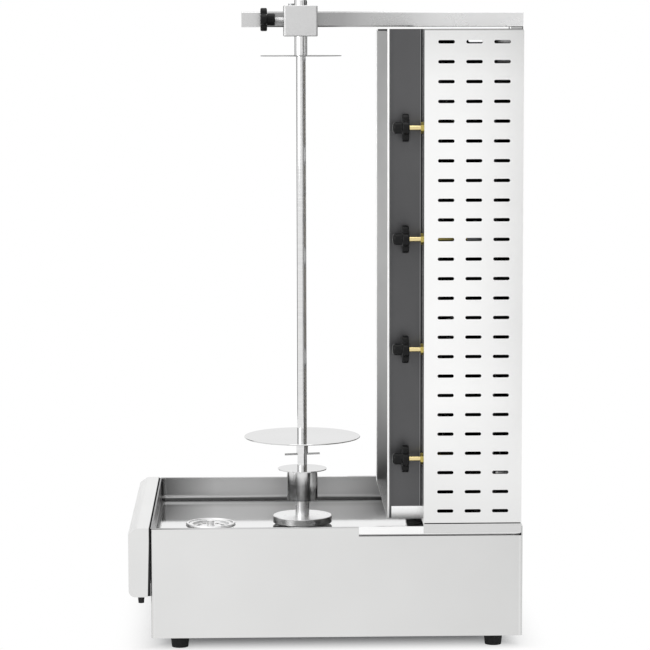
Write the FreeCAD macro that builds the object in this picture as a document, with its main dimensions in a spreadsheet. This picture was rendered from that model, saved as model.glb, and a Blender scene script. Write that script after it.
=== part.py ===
"""Upright gas doner kebab grill: four burners, a driven spit, a drip pan and a fat drawer.

Every piece is drawn from the spit's axis at floor level: X runs from the front to the rear, Y from
the tap side (negative) to the plain side, and Z up. A piece's Placement then carries it to the
part's own frame, whose origin lies on the floor under the middle of the whole machine.
"""
import FreeCAD
import Part
import Sketcher
import math
import os
from FreeCAD import Vector

DOC = FreeCAD.newDocument("DonerGrill")
NODES = {}

# Driving dimensions, in millimetres, degrees and counts.
DIMENSIONS = [
    # Casing and feet
    ("front_reach", 261.0), ("casing_front", 228.2), ("casing_rear", 321.0), ("body_width", 450.0),
    ("foot_height", 20.0), ("casing_height", 164.0), ("sheet_metal", 1.2), ("casing_corner", 4.0),
    ("foot_top_dia", 29.3), ("foot_base_dia", 24.5), ("foot_front_inset", 41.5),
    ("foot_rear_inset", 40.3), ("foot_side_inset", 35.0), ("foot_screw_dia", 6.0),
    ("screw_head_dia", 10.0), ("screw_head_height", 4.0), ("foot_recess_depth", 10.0),
    ("nut_height", 5.0), ("hole_clearance", 0.2), ("vent_length", 60.0), ("vent_width", 6.0),
    ("vent_pitch", 16.0), ("vent_count", 7.0),
    # Drip pan and its drain
    ("pan_depth", 36.0), ("pan_sheet", 1.0), ("pan_inset", 6.0), ("pan_corner", 9.0),
    ("pan_bend", 7.0), ("drain_ahead", 142.8), ("drain_hole_dia", 60.0), ("spout_length", 7.0),
    ("strainer_dia", 77.0), ("strainer_lift", 0.2), ("strainer_sheet", 1.2),
    ("strainer_ring_height", 3.0), ("strainer_ring_width", 4.0), ("strainer_holes", 12.0),
    ("strainer_hole_dia", 7.0), ("strainer_hole_circle", 40.0), ("strainer_grip_dia", 11.0),
    ("strainer_grip_height", 6.0),
    # Drawer
    ("drawer_rise", 1.0), ("drawer_height", 103.0), ("drawer_gap", 2.0), ("drawer_undercut", 2.8),
    ("drawer_top_depth", 18.4), ("drawer_chamfer", 8.5), ("drawer_bend", 10.0), ("box_foot_gap", 18.0),
    ("box_length", 193.8), ("box_height", 46.0), ("box_lift", 10.0), ("box_sheet", 1.0),
    ("box_corner", 6.0), ("box_clearance", 5.0), ("runner_gap", 0.3), ("runner_rise", 28.0),
    ("runner_shelf", 16.0), ("runner_length", 166.0), ("stub_top_dia", 10.0),
    ("stub_base_dia", 8.4), ("stub_height", 10.5), ("stub_setback", 18.0), ("stub_side_inset", 12.0),
    # Drive
    ("shaft_dia", 12.0), ("shaft_gap", 0.05), ("bush_dia", 24.0), ("bush_flange_dia", 34.0),
    ("bush_flange_thick", 2.2), ("bush_length", 11.0), ("disc_gap", 3.0), ("disc_dia", 92.0),
    ("disc_thick", 11.0), ("disc_edge", 1.0), ("hub_dia", 21.5), ("hub_length", 25.0),
    ("cup_dia", 47.5), ("cup_height", 47.0), ("cup_floor", 3.0), ("hex_across", 30.0),
    ("hex_gap", 0.3), ("shaft_in_hub", 12.0), ("gearbox_length", 84.0), ("gearbox_width", 64.0),
    ("gearbox_height", 48.0), ("gearbox_drop", 22.0), ("gearbox_corner", 6.0), ("boss_dia", 30.0),
    ("boss_height", 5.0), ("shaft_in_box", 20.0), ("motor_dia", 46.0), ("motor_length", 76.0),
    ("motor_cap_dia", 36.0), ("motor_cap_length", 6.0), ("bracket_sheet", 2.0),
    ("bracket_foot", 14.0), ("bracket_margin", 8.0),
    # Spit
    ("rod_dia", 15.0), ("rod_top", 899.0), ("rod_chamfer", 2.5), ("spit_angle", 9.0),
    ("drip_disc_dia", 76.0), ("drip_disc_thick", 1.5), ("pin_dia", 3.0), ("pin_length", 55.0),
    ("pin_rise", 22.2), ("collar_dia", 18.3), ("collar_length", 25.4), ("plate_dia", 180.0),
    ("plate_thick", 1.5),
    ("sleeve_dia", 20.0), ("sleeve_base", 874.0), ("sleeve_length", 85.0), ("sleeve_cap", 11.0),
    ("top_disc_dia", 124.0), ("top_disc_thick", 1.0), ("top_disc_hole_gap", 0.6),
    # Arm, mast and block
    ("arm_height", 24.0), ("arm_depth", 24.0), ("arm_base", 917.0), ("arm_front", 90.7),
    ("arm_near", 18.5), ("tube_wall", 2.0), ("tube_corner", 3.0), ("mast_depth", 21.5),
    ("mast_foot", 24.0), ("mast_bolt_dia", 8.0), ("mast_bolt_head", 13.0),
    ("mast_bolt_pitch", 34.0), ("mast_bolt_low", 62.0), ("mast_bolt_count", 3.0),
    ("cap_plug", 14.0), ("plug_gap", 0.5),
    ("block_front", 26.5), ("block_rear", 25.3), ("block_near", 17.0), ("block_far_wall", 5.0),
    ("block_drop", 14.0), ("block_rise", 9.0), ("block_round", 3.0), ("set_screw_ahead", 14.0),
    ("set_screw_dia", 6.0), ("set_screw_head_dia", 9.0), ("set_screw_head_height", 3.0),
    # Clamp knob and screw
    ("clamp_screw_dia", 8.0), ("clamp_screw_show", 13.2), ("clamp_tip_gap", 0.3),
    ("clamp_hub_dia", 19.0), ("clamp_hub_length", 11.8), ("clamp_span", 35.3),
    ("clamp_lobe_thick", 10.3), ("clamp_height", 11.6),
    # Burner unit
    ("carriage_front", 123.2), ("housing_front", 174.2), ("housing_rear", 318.5),
    ("housing_top", 914.0), ("panel_base", 190.0), ("shelf_base", 187.0), ("shelf_thick", 1.4),
    ("skirt_base", 174.4), ("glide_thick", 2.0), ("slide_gap", 0.15), ("rail_front", 78.7),
    ("rail_base", 173.5), ("rail_top", 184.7), ("rail_slot", 3.0), ("housing_bend", 4.0),
    ("band_top", 206.0), ("box_inset", 54.0), ("edge_hem", 3.6), ("hem_length", 6.0),
    ("slot_first", 206.0), ("slot_pitch_x", 40.55), ("slot_columns", 3.0), ("slot_length", 24.0),
    ("slot_width", 5.0), ("slot_low", 207.7), ("slot_pitch_z", 28.65), ("slot_rows", 25.0),
    ("reflector_skew", 1.5), ("reflector_gap", 3.0), ("reflector_drop", 3.0),
    ("reflector_setback", 1.4),
    # Burners
    ("burner_top", 796.0), ("burner_pitch", 162.9), ("burner_count", 4.0),
    ("burner_inset", 69.0), ("burner_half_height", 73.0), ("burner_depth", 36.0),
    ("burner_taper", 12.0), ("collar_inset", 4.5), ("collar_half_height", 68.5),
    ("collar_proud", 8.0), ("collar_wall", 2.0), ("window_gap", 0.5), ("ceramic_gap", 0.3),
    ("ceramic_inset", 1.0), ("ceramic_thick", 13.0), ("plenum_ledge", 7.0),
    ("plenum_back", 2.0), ("grid_gap", 4.0), ("grid_thick", 1.5),
    ("grid_bar", 3.0), ("grid_columns", 9.0), ("grid_rows", 3.0), ("tube_dia", 26.0),
    ("tube_bore", 23.0), ("bell_dia", 34.0), ("bell_length", 18.0), ("tube_gap", 47.0),
    ("tube_far", 60.0),
    # Star knobs, as shares of their span and thickness, and rounded ends as a share of the width
    ("knob_core_share", 0.36), ("knob_lobe_share", 0.19), ("knob_bevel_share", 0.12),
    ("knob_lobes", 4.0), ("end_round", 0.48),
    # Taps and gas pipe
    ("tap_inset", 28.0), ("tap_top", 770.5), ("nut_thick", 3.3), ("nut_across", 14.5),
    ("neck_dia", 11.0), ("stem_dia", 7.5), ("stem_show", 17.3), ("stem_gap", 0.05),
    ("push_travel", 3.0), ("stem_in_tap", 13.0), ("stem_in_knob", 16.0), ("tap_dia", 22.0),
    ("tap_length", 25.0), ("tail_dia", 16.0), ("tail_length", 38.0), ("outlet_dia", 9.0),
    ("outlet_gap", 4.0), ("outlet_step", 0.5), ("knob_span", 41.0), ("knob_lobe_thick", 10.4),
    ("knob_hub_dia", 17.5), ("knob_hub_length", 13.7), ("pipe_dia", 22.0), ("pipe_setback", 33.5),
    ("branch_dia", 10.0), ("pipe_over", 16.0), ("inlet_inset", 125.0), ("inlet_height", 232.0),
    ("inlet_dia", 20.95), ("inlet_show", 21.0),
    ("inlet_bore", 15.0), ("inlet_thread", 20.0), ("inlet_hole_gap", 2.0),
    # Cable gland
    ("gland_inset", 75.0), ("gland_height", 60.0), ("gland_dia", 16.0), ("gland_nut", 22.0),
    ("gland_nut_thick", 5.0), ("gland_length", 13.0), ("gland_bore", 7.0), ("gland_inside", 8.0),
    ("gland_taper", 2.0),
]


class Size:
    """A number with the sheet expression that it comes from."""

    def __init__(self, value, text):
        self.value = float(value)
        self.text = text

    def __add__(self, other):
        return joined(self, "+", other, self.value + number(other))

    def __radd__(self, other):
        return joined(other, "+", self, number(other) + self.value)

    def __sub__(self, other):
        return joined(self, "-", other, self.value - number(other))

    def __rsub__(self, other):
        return joined(other, "-", self, number(other) - self.value)

    def __mul__(self, other):
        return joined(self, "*", other, self.value * number(other))

    def __rmul__(self, other):
        return joined(other, "*", self, number(other) * self.value)

    def __truediv__(self, other):
        return joined(self, "/", other, self.value / number(other))

    def __neg__(self):
        return Size(-self.value, "(0 - %s)" % self.text)


def number(value):
    return value.value if isinstance(value, Size) else float(value)


def wording(value):
    return value.text if isinstance(value, Size) else "(%r)" % float(value)


def joined(left, sign, right, value):
    return Size(value, "(%s %s %s)" % (wording(left), sign, wording(right)))


def write_sheet():
    sheet = DOC.addObject("Spreadsheet::Sheet", "Dims")
    for row, (name, value) in enumerate(DIMENSIONS, 1):
        sheet.set("A%d" % row, name)
        sheet.set("B%d" % row, repr(value))
        sheet.setAlias("B%d" % row, name)
    DOC.recompute()
    return {name: Size(value, "Dims." + name) for name, value in DIMENSIONS}


class Named:
    """The driving dimensions, each read by its own name."""

    def __init__(self, sizes):
        self.__dict__.update(sizes)


D = Named(write_sheet())


def bind(thing, path, value):
    """Tie a property to the sheet, or set it where the value is a plain number."""
    if isinstance(value, Size):
        thing.setExpression(path, value.text)
        return
    owner, _, last = path.rpartition(".")
    if not owner:
        setattr(thing, last, value)
    elif value:
        thing.setExpression(path, repr(float(value)))


def place(thing, x=0, y=0, z=0):
    bind(thing, "Placement.Base.x", x)
    bind(thing, "Placement.Base.y", y)
    bind(thing, "Placement.Base.z", z)
    return thing


def turned_about(thing, axis, degrees):
    thing.Placement = FreeCAD.Placement(Vector(0, 0, 0), FreeCAD.Rotation(axis, number(degrees)))
    bind(thing, "Placement.Rotation.Angle", degrees)
    return thing


def node(label, thing, x=None, y=0, z=0):
    """Name a finished piece and carry it to its place in the part's frame."""
    thing.Label = label
    place(thing, SPIT_X if x is None else SPIT_X + x, y, z)
    NODES[label] = thing
    return thing


# Sketches


def origin_item(body, role):
    return next(item for item in body.Origin.OriginFeatures if item.Role == role)


def new_body(name):
    body = DOC.addObject("PartDesign::Body", name)
    body.AllowCompound = True
    return body


def sketch(body, role, offset=0):
    """A sketch on one of the body's own planes, moved along the plane's normal.

    The normal of XZ_Plane points to the tap side, along -Y.
    """
    drawing = body.newObject("Sketcher::SketchObject", body.Name + "_sketch")
    drawing.AttachmentSupport = [(origin_item(body, role), "")]
    drawing.MapMode = "FlatFace"
    if number(offset):
        bind(drawing, "AttachmentOffset.Base.z", offset)
    return drawing


def pin_point(drawing, geometry, end, u, v):
    """Tie a point of the sketch to its two coordinates."""
    for kind, value, axis in (("DistanceX", u, -2), ("DistanceY", v, -1)):
        if not isinstance(value, Size) and value == 0:
            drawing.addConstraint(Sketcher.Constraint("PointOnObject", geometry, end, axis))
            continue
        rule = Sketcher.Constraint(kind, -1, 1, geometry, end, number(value))
        tie(drawing, drawing.addConstraint(rule), value)


def tie(drawing, index, value):
    if isinstance(value, Size):
        drawing.setExpression("Constraints[%d]" % index, value.text)


def circle(drawing, u, v, radius):
    ring = Part.Circle(Vector(number(u), number(v), 0), Vector(0, 0, 1), number(radius))
    index = drawing.addGeometry(ring, False)
    pin_point(drawing, index, 3, u, v)
    tie(drawing, drawing.addConstraint(Sketcher.Constraint("Radius", index, number(radius))), radius)


def heading(vector):
    return math.atan2(vector.y, vector.x)


def outline(drawing, corners):
    """A closed outline through the corners; a third value rounds its corner to that radius."""
    spots = [Vector(number(c[0]), number(c[1]), 0) for c in corners]
    radii = [c[2] if len(c) > 2 else None for c in corners]
    count = len(corners)
    arrivals = []
    departures = []
    centres = []
    for i, spot in enumerate(spots):
        back = (spots[i - 1] - spot).normalize()
        ahead = (spots[(i + 1) % count] - spot).normalize()
        if radii[i] is None:
            arrivals.append(spot)
            departures.append(spot)
            centres.append(None)
            continue
        half = back.getAngle(ahead) / 2
        reach = number(radii[i]) / math.tan(half)
        arrivals.append(spot + back * reach)
        departures.append(spot + ahead * reach)
        centres.append(spot + (back + ahead).normalize() * (number(radii[i]) / math.sin(half)))
    lines = []
    for i in range(count):
        segment = Part.LineSegment(departures[i], arrivals[(i + 1) % count])
        lines.append(drawing.addGeometry(segment, False))
    for i, corner in enumerate(corners):
        if radii[i] is None:
            meet = Sketcher.Constraint("Coincident", lines[i - 1], 2, lines[i], 1)
            drawing.addConstraint(meet)
            pin_point(drawing, lines[i], 1, corner[0], corner[1])
        else:
            round_corner(drawing, spots[i], corner, lines[i - 1], lines[i],
                         arrivals[i], departures[i], centres[i])


def round_corner(drawing, spot, corner, line_in, line_out, arrive, depart, centre):
    """Join two lines of an outline with an arc that touches both."""
    radius = corner[2]
    dot = drawing.addGeometry(Part.Point(spot), True)
    pin_point(drawing, dot, 1, corner[0], corner[1])
    drawing.addConstraint(Sketcher.Constraint("PointOnObject", dot, 1, line_in))
    drawing.addConstraint(Sketcher.Constraint("PointOnObject", dot, 1, line_out))
    first = heading(arrive - centre)
    last = heading(depart - centre)
    leftward = (spot - arrive).cross(depart - spot).z > 0
    full = Part.Circle(centre, Vector(0, 0, 1), number(radius))
    if leftward:
        arc = drawing.addGeometry(Part.ArcOfCircle(full, first, last), False)
        ends = (1, 2)
    else:
        arc = drawing.addGeometry(Part.ArcOfCircle(full, last, first), False)
        ends = (2, 1)
    drawing.addConstraint(Sketcher.Constraint("Tangent", line_in, 2, arc, ends[0]))
    drawing.addConstraint(Sketcher.Constraint("Tangent", arc, ends[1], line_out, 1))
    rule = Sketcher.Constraint("Radius", arc, number(radius))
    tie(drawing, drawing.addConstraint(rule), radius)


def rectangle(drawing, u, v, radius=None):
    """An upright rectangle from pairs of low and high values, its corners rounded if asked."""
    spots = [(u[0], v[0]), (u[1], v[0]), (u[1], v[1]), (u[0], v[1])]
    outline(drawing, [spot if radius is None else spot + (radius,) for spot in spots])


def hexagon(drawing, across):
    """A regular hexagon with two flats square to the sketch's second axis."""
    flat = across / 2
    tip = across * (1 / math.sqrt(3))
    outline(drawing, [(tip, 0), (tip / 2, flat), (-(tip / 2), flat),
                      (-tip, 0), (-(tip / 2), -flat), (tip / 2, -flat)])


# Features


def pad(body, drawing, length, symmetric=False, backwards=False):
    feature = body.newObject("PartDesign::Pad", body.Name + "_pad")
    feature.Profile = drawing
    feature.SideType = "Symmetric" if symmetric else "One side"
    feature.Reversed = backwards
    bind(feature, "Length", length)
    return feature


def pocket(body, drawing, length, symmetric=True, backwards=False):
    """Remove an outline; the usual pocket reaches as far to both sides of its sketch."""
    feature = body.newObject("PartDesign::Pocket", body.Name + "_pocket")
    feature.Profile = drawing
    feature.SideType = "Symmetric" if symmetric else "One side"
    feature.Reversed = backwards
    bind(feature, "Length", length)
    return feature


def revolve(body, drawing, axis):
    feature = body.newObject("PartDesign::Revolution", body.Name + "_turned")
    feature.Profile = drawing
    feature.ReferenceAxis = (drawing, [axis])
    feature.Angle = 360
    return feature


def row(body, feature, drawing, axis, pitch, count):
    """Repeat a feature along a straight row."""
    pattern = body.newObject("PartDesign::LinearPattern", body.Name + "_row")
    pattern.Originals = [feature]
    pattern.Direction = (drawing, [axis])
    pattern.Mode = "Spacing"
    bind(pattern, "Offset", pitch)
    bind(pattern, "Occurrences", count)
    body.Tip = pattern
    return pattern


def ring_of(body, feature, axis_role, count):
    """Repeat a feature evenly round an axis."""
    pattern = body.newObject("PartDesign::PolarPattern", body.Name + "_ring")
    pattern.Originals = [feature]
    pattern.Axis = (origin_item(body, axis_role), [""])
    pattern.Angle = 360
    bind(pattern, "Occurrences", count)
    body.Tip = pattern
    return pattern


def both_sides(body, features):
    """Repeat features on the other side of the machine's middle plane."""
    mirror = body.newObject("PartDesign::Mirrored", body.Name + "_mirrored")
    mirror.Originals = features
    mirror.MirrorPlane = (origin_item(body, "XZ_Plane"), [""])
    body.Tip = mirror
    return mirror


def turned(name, corners):
    """A piece turned about the vertical axis, from radius and height pairs."""
    body = new_body(name)
    drawing = sketch(body, "XZ_Plane")
    outline(drawing, corners)
    revolve(body, drawing, "V_Axis")
    return body


def turned_along_x(name, corners):
    """A piece turned about a front-to-rear axis, from distance and radius pairs."""
    body = new_body(name)
    drawing = sketch(body, "XZ_Plane")
    outline(drawing, corners)
    revolve(body, drawing, "H_Axis")
    return body


# Plain solids


def block(x, y, z):
    solid = DOC.addObject("Part::Box", "Block")
    bind(solid, "Length", x[1] - x[0])
    bind(solid, "Width", y[1] - y[0])
    bind(solid, "Height", z[1] - z[0])
    return place(solid, x[0], y[0], z[0])


def bar(axis, start, radius, length):
    """A round bar from its start point along X, Y or Z."""
    solid = DOC.addObject("Part::Cylinder", "Bar")
    bind(solid, "Radius", radius)
    bind(solid, "Height", length)
    lay_along(solid, axis)
    return place(solid, *start)


def lay_along(solid, axis):
    turns = {"X": (Vector(0, 1, 0), 90), "Y": (Vector(1, 0, 0), -90), "Z": (Vector(0, 0, 1), 0)}
    solid.Placement = FreeCAD.Placement(Vector(0, 0, 0), FreeCAD.Rotation(*turns[axis]))


def taper(start, low_radius, high_radius, length):
    solid = DOC.addObject("Part::Cone", "Taper")
    bind(solid, "Radius1", low_radius)
    bind(solid, "Radius2", high_radius)
    bind(solid, "Height", length)
    return place(solid, *start)


def hex_bar(axis, start, across, length):
    solid = DOC.addObject("Part::Prism", "HexBar")
    solid.Polygon = 6
    bind(solid, "Circumradius", across * (1 / math.sqrt(3)))
    bind(solid, "Height", length)
    lay_along(solid, axis)
    return place(solid, *start)


def cut(base, *tools):
    result = DOC.addObject("Part::Cut", "Cut")
    result.Base = base
    result.Tool = tools[0] if len(tools) == 1 else group(*tools)
    return result


def fuse(*solids):
    result = DOC.addObject("Part::MultiFuse", "Joined")
    result.Shapes = list(solids)
    return result


def kept(base, x, y, z):
    """The part of a piece that lies inside a plain block."""
    result = DOC.addObject("Part::Common", "Kept")
    result.Base = base
    result.Tool = block(x, y, z)
    return result


def group(*solids):
    result = DOC.addObject("Part::Compound", "Group")
    result.Links = list(solids)
    return result


def mirrored(solid):
    """The same piece on the other side of the machine's middle plane."""
    result = DOC.addObject("Part::Mirroring", "Mirrored")
    result.Source = solid
    result.Normal = Vector(0, 1, 0)
    return result


# How near an edge lies to a level before it counts as on it, in millimetres.
FLAT = 0.01


def feature_edges(feature, wanted):
    DOC.recompute()
    edges = feature.Shape.Edges
    return ["Edge%d" % i for i, edge in enumerate(edges, 1) if wanted(edge)]


def rounded(body, feature, wanted, radius):
    """Round the edges of a feature that the test picks."""
    fillet = body.newObject("PartDesign::Fillet", body.Name + "_round")
    fillet.Base = (feature, feature_edges(feature, wanted))
    bind(fillet, "Radius", radius)
    return fillet


# Places that several pieces share

MACHINE_REAR = D.casing_rear + D.mast_depth
SPIT_X = (D.front_reach - MACHINE_REAR) / 2
HALF = D.body_width / 2
CASING_TOP = D.foot_height + D.casing_height
PAN_RIM = CASING_TOP - D.pan_sheet
PAN_FLOOR = CASING_TOP - D.pan_depth
PAN_UNDER = PAN_FLOOR - D.pan_sheet
PAN_FRONT = D.sheet_metal - D.casing_front
PAN_REAR = D.casing_rear - D.sheet_metal
PAN_HALF = HALF - D.pan_inset
SIDE_INNER = HALF - D.sheet_metal
FOOT_X = (D.foot_front_inset - D.casing_front, D.casing_rear - D.foot_rear_inset)
FOOT_Y = (D.foot_side_inset - HALF, HALF - D.foot_side_inset)
MAST_Y = D.arm_near + D.arm_depth / 2
BOX_HALF = HALF - D.foot_side_inset - D.box_foot_gap
BOX_SIDE = HALF - D.box_inset
TAP_SIDE = HALF - D.tap_inset
INLET_SIDE = HALF - D.inlet_inset
GLAND_SIDE = HALF - D.gland_inset
PLATE_TOP = D.foot_height + D.sheet_metal
RAIL_CUT_END = D.housing_rear + D.runner_gap


def foot_spots():
    return [(x, y) for x in FOOT_X for y in FOOT_Y]


# Casing


def base_casing():
    """Four walls, with openings for the drawer, the burner rails, the mast and the gland.

    The front and rear walls carry the rounded corners, and the side walls meet them there.
    """
    body = new_body("Casing")
    walls = sketch(body, "XY_Plane", D.foot_height)
    rectangle(walls, (-D.casing_front, D.casing_rear), (-HALF, HALF), D.casing_corner)
    inner_corner = D.casing_corner - D.sheet_metal
    rectangle(walls, (PAN_FRONT, PAN_REAR), (-SIDE_INNER, SIDE_INNER), inner_corner)
    pad(body, walls, PAN_RIM - D.foot_height)

    rails = sketch(body, "XZ_Plane")
    low = D.rail_base - D.rail_slot
    rectangle(rails, (D.rail_front, RAIL_CUT_END), (low, CASING_TOP))
    pocket(body, rails, D.body_width * 2)

    mouth = sketch(body, "YZ_Plane", -D.casing_front)
    gap = D.box_clearance
    rectangle(mouth, (-(BOX_HALF + gap), BOX_HALF + gap),
              (BOX_BASE - D.runner_gap, BOX_BASE + D.box_height + gap), D.box_corner)
    pocket(body, mouth, D.casing_corner)

    back = sketch(body, "YZ_Plane", D.casing_rear)
    circle(back, GLAND_SIDE, D.gland_height, D.gland_dia / 2 + D.hole_clearance)
    pocket(body, back, D.casing_corner)
    bolts = sketch(body, "YZ_Plane", D.casing_rear)
    circle(bolts, MAST_Y, D.mast_bolt_low, D.mast_bolt_dia / 2 + D.hole_clearance)
    hole = pocket(body, bolts, D.casing_corner)
    row(body, hole, bolts, "V_Axis", D.mast_bolt_pitch, D.mast_bolt_count)

    width = (-HALF, HALF)
    height = (D.foot_height, PAN_RIM)
    front_seam = D.casing_corner - D.casing_front
    rear_seam = D.casing_rear - D.casing_corner
    front = kept(body, (-D.casing_front, front_seam), width, height)
    sides = kept(body, (front_seam, rear_seam), width, height)
    rear = kept(body, (rear_seam, D.casing_rear), width, height)
    node("base_casing", group(front, sides, rear))


def bottom_plate():
    """Floor of the casing, with the feet's screw holes and a row of vents under the motor."""
    body = new_body("BottomPlate")
    face = sketch(body, "XY_Plane", D.foot_height)
    rectangle(face, (PAN_FRONT, PAN_REAR), (-SIDE_INNER, SIDE_INNER), D.casing_corner - D.sheet_metal)
    for x, y in foot_spots():
        circle(face, x, y, D.foot_screw_dia / 2 + D.hole_clearance)
    pad(body, face, D.sheet_metal)
    vents = sketch(body, "XY_Plane", D.foot_height)
    left = MOTOR_END + D.vent_pitch
    rectangle(vents, (left, left + D.vent_width), (-(D.vent_length / 2), D.vent_length / 2),
              D.vent_width * D.end_round)
    slot = pocket(body, vents, D.sheet_metal * 4)
    row(body, slot, vents, "H_Axis", D.vent_pitch, D.vent_count)
    node("bottom_plate", body)


def feet():
    """Tapered rubber feet, recessed below for their screws."""
    rubbers = []
    screws = []
    shank = D.foot_screw_dia / 2
    for x, y in foot_spots():
        cone = taper((x, y, 0), D.foot_base_dia / 2, D.foot_top_dia / 2, D.foot_height)
        recess = bar("Z", (x, y, 0), D.screw_head_dia / 2 + D.hole_clearance * 2, D.foot_recess_depth)
        way = bar("Z", (x, y, 0), shank + D.hole_clearance, D.foot_height)
        rubbers.append(cut(cone, recess, way))
        head_base = D.foot_recess_depth - D.screw_head_height
        head = bar("Z", (x, y, head_base), D.screw_head_dia / 2, D.screw_head_height)
        shaft = bar("Z", (x, y, head_base), shank, PLATE_TOP + D.nut_height - head_base)
        nut = hex_bar("Z", (x, y, PLATE_TOP), D.screw_head_dia, D.nut_height)
        screws.append(fuse(head, shaft, nut))
    node("rubber_feet", group(*rubbers))
    node("foot_screws", group(*screws))


# Pan, strainer and drain


def drip_pan():
    """Deep pan whose rim lies on the casing, with a drain in its floor."""
    body = new_body("Pan")
    outside = sketch(body, "XY_Plane", PAN_UNDER)
    rectangle(outside, (PAN_FRONT, PAN_REAR), (-PAN_HALF, PAN_HALF), D.pan_corner)
    deep = pad(body, outside, PAN_RIM - PAN_UNDER)
    rounded(body, deep, lambda e: abs(e.CenterOfMass.z - PAN_UNDER.value) < FLAT, D.pan_bend)
    rim = sketch(body, "XY_Plane", PAN_RIM)
    rectangle(rim, (-D.casing_front, D.casing_rear), (-HALF, HALF), D.casing_corner)
    pad(body, rim, D.pan_sheet)
    wall = D.pan_sheet
    room = new_body("PanRoom")
    inside = sketch(room, "XY_Plane", PAN_FLOOR)
    rectangle(inside, (PAN_FRONT + wall, PAN_REAR - wall), (wall - PAN_HALF, PAN_HALF - wall),
              D.pan_corner - wall)
    hollow = pad(room, inside, D.pan_depth * 2)
    rounded(room, hollow, lambda e: abs(e.CenterOfMass.z - PAN_FLOOR.value) < FLAT, D.pan_bend - wall)
    notch = sketch(body, "XY_Plane", CASING_TOP)
    rectangle(notch, (D.rail_front, RAIL_CUT_END), (RAIL_INNER, HALF + wall))
    side = pocket(body, notch, D.pan_sheet * 4)
    both_sides(body, [side])

    spout = sketch(body, "XY_Plane", PAN_UNDER)
    circle(spout, -D.drain_ahead, 0, D.drain_hole_dia / 2 + wall)
    pad(body, spout, D.spout_length, backwards=True)
    holes = sketch(body, "XY_Plane", PAN_FLOOR)
    circle(holes, -D.drain_ahead, 0, D.drain_hole_dia / 2)
    pocket(body, holes, D.pan_depth)
    centre = sketch(body, "XY_Plane", PAN_FLOOR)
    circle(centre, 0, 0, D.bush_dia / 2 + D.shaft_gap)
    pocket(body, centre, D.pan_sheet * 4)
    node("drip_pan", cut(body, room))


def drain_strainer():
    """Sieve with a raised ring and a ring of holes, lying in the drain of the pan."""
    top = D.strainer_sheet
    ring_out = D.strainer_dia / 2
    ring_in = ring_out - D.strainer_ring_width
    well = D.drain_hole_dia / 2 - D.runner_gap
    grip = D.strainer_grip_dia / 2
    body = turned("Strainer", [
        (0, -D.spout_length / 2), (well, -D.spout_length / 2), (well, 0), (ring_out, 0),
        (ring_out, top), (ring_out - top, D.strainer_ring_height), (ring_in, D.strainer_ring_height),
        (ring_in - top, top), (well - top, top), (well - top, top - D.spout_length / 2),
        (grip, top - D.spout_length / 2), (grip, D.strainer_grip_height), (0, D.strainer_grip_height),
    ])
    drawing = sketch(body, "XY_Plane")
    circle(drawing, D.strainer_hole_circle / 2, 0, D.strainer_hole_dia / 2)
    ring_of(body, pocket(body, drawing, D.spout_length * 4), "Z_Axis", D.strainer_holes)
    node("drain_strainer", body, x=-D.drain_ahead, z=PAN_FLOOR + D.strainer_lift)


# Drawer

DRAWER_TOP = CASING_TOP + D.drawer_rise
DRAWER_BASE = DRAWER_TOP - D.drawer_height
DRAWER_BACK = -(D.casing_front + D.drawer_gap)
DRAWER_FACE = -D.front_reach
BOX_FRONT = DRAWER_FACE + D.sheet_metal
BOX_BASE = DRAWER_BASE + D.box_lift
BOX_REAR = BOX_FRONT + D.box_length


def drawer_front():
    """Folded front panel with a bevelled top, a rolled bottom and closed ends."""
    body = new_body("DrawerFront")
    wall = D.sheet_metal
    bevel_x = DRAWER_BACK - D.drawer_top_depth
    bevel_z = DRAWER_TOP - D.drawer_chamfer
    skin = sketch(body, "XZ_Plane")
    outline(skin, [(DRAWER_BACK, DRAWER_TOP), (bevel_x, DRAWER_TOP), (DRAWER_FACE, bevel_z),
                   (DRAWER_FACE, DRAWER_BASE, D.drawer_bend),
                   (DRAWER_BACK - D.drawer_undercut, DRAWER_BASE)])
    pad(body, skin, D.body_width, symmetric=True)
    hollow = sketch(body, "XZ_Plane")
    outline(hollow, [(-D.casing_front, DRAWER_TOP - wall), (bevel_x, DRAWER_TOP - wall),
                     (DRAWER_FACE + wall, bevel_z - wall / 2),
                     (DRAWER_FACE + wall, DRAWER_BASE + wall, D.drawer_bend - wall),
                     (-D.casing_front, DRAWER_BASE + wall)])
    pocket(body, hollow, D.body_width - wall * 2)
    node("drawer_front", body)


def drawer_box():
    """Fat drawer behind the front panel, a plain tray with bent-up walls."""
    body = new_body("DrawerBox")
    wall = D.box_sheet
    half = BOX_HALF
    outside = sketch(body, "XY_Plane", BOX_BASE)
    rectangle(outside, (BOX_FRONT, BOX_REAR), (-half, half), D.box_corner)
    pad(body, outside, D.box_height)
    inside = sketch(body, "XY_Plane", BOX_BASE + wall)
    rectangle(inside, (BOX_FRONT + wall, BOX_REAR - wall), (wall - half, half - wall),
              D.box_corner - wall)
    pocket(body, inside, D.box_height, symmetric=False, backwards=True)
    node("drawer_box", body)


def drawer_runners():
    """Bent rails on the floor of the casing that carry the drawer box and guide its sides."""
    body = new_body("Runners")
    wall = D.sheet_metal
    web = BOX_HALF + D.runner_gap
    shelf = BOX_BASE - D.runner_gap
    side = sketch(body, "YZ_Plane", PAN_FRONT)
    tip = web - D.runner_shelf
    outline(side, [(tip, PLATE_TOP), (web + wall, PLATE_TOP), (web + wall, shelf + D.runner_rise),
                   (web, shelf + D.runner_rise), (web, shelf), (tip, shelf), (tip, shelf - wall),
                   (web, shelf - wall), (web, PLATE_TOP + wall), (tip, PLATE_TOP + wall)])
    rail = pad(body, side, D.runner_length)
    both_sides(body, [rail])
    node("drawer_runners", body)


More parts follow.
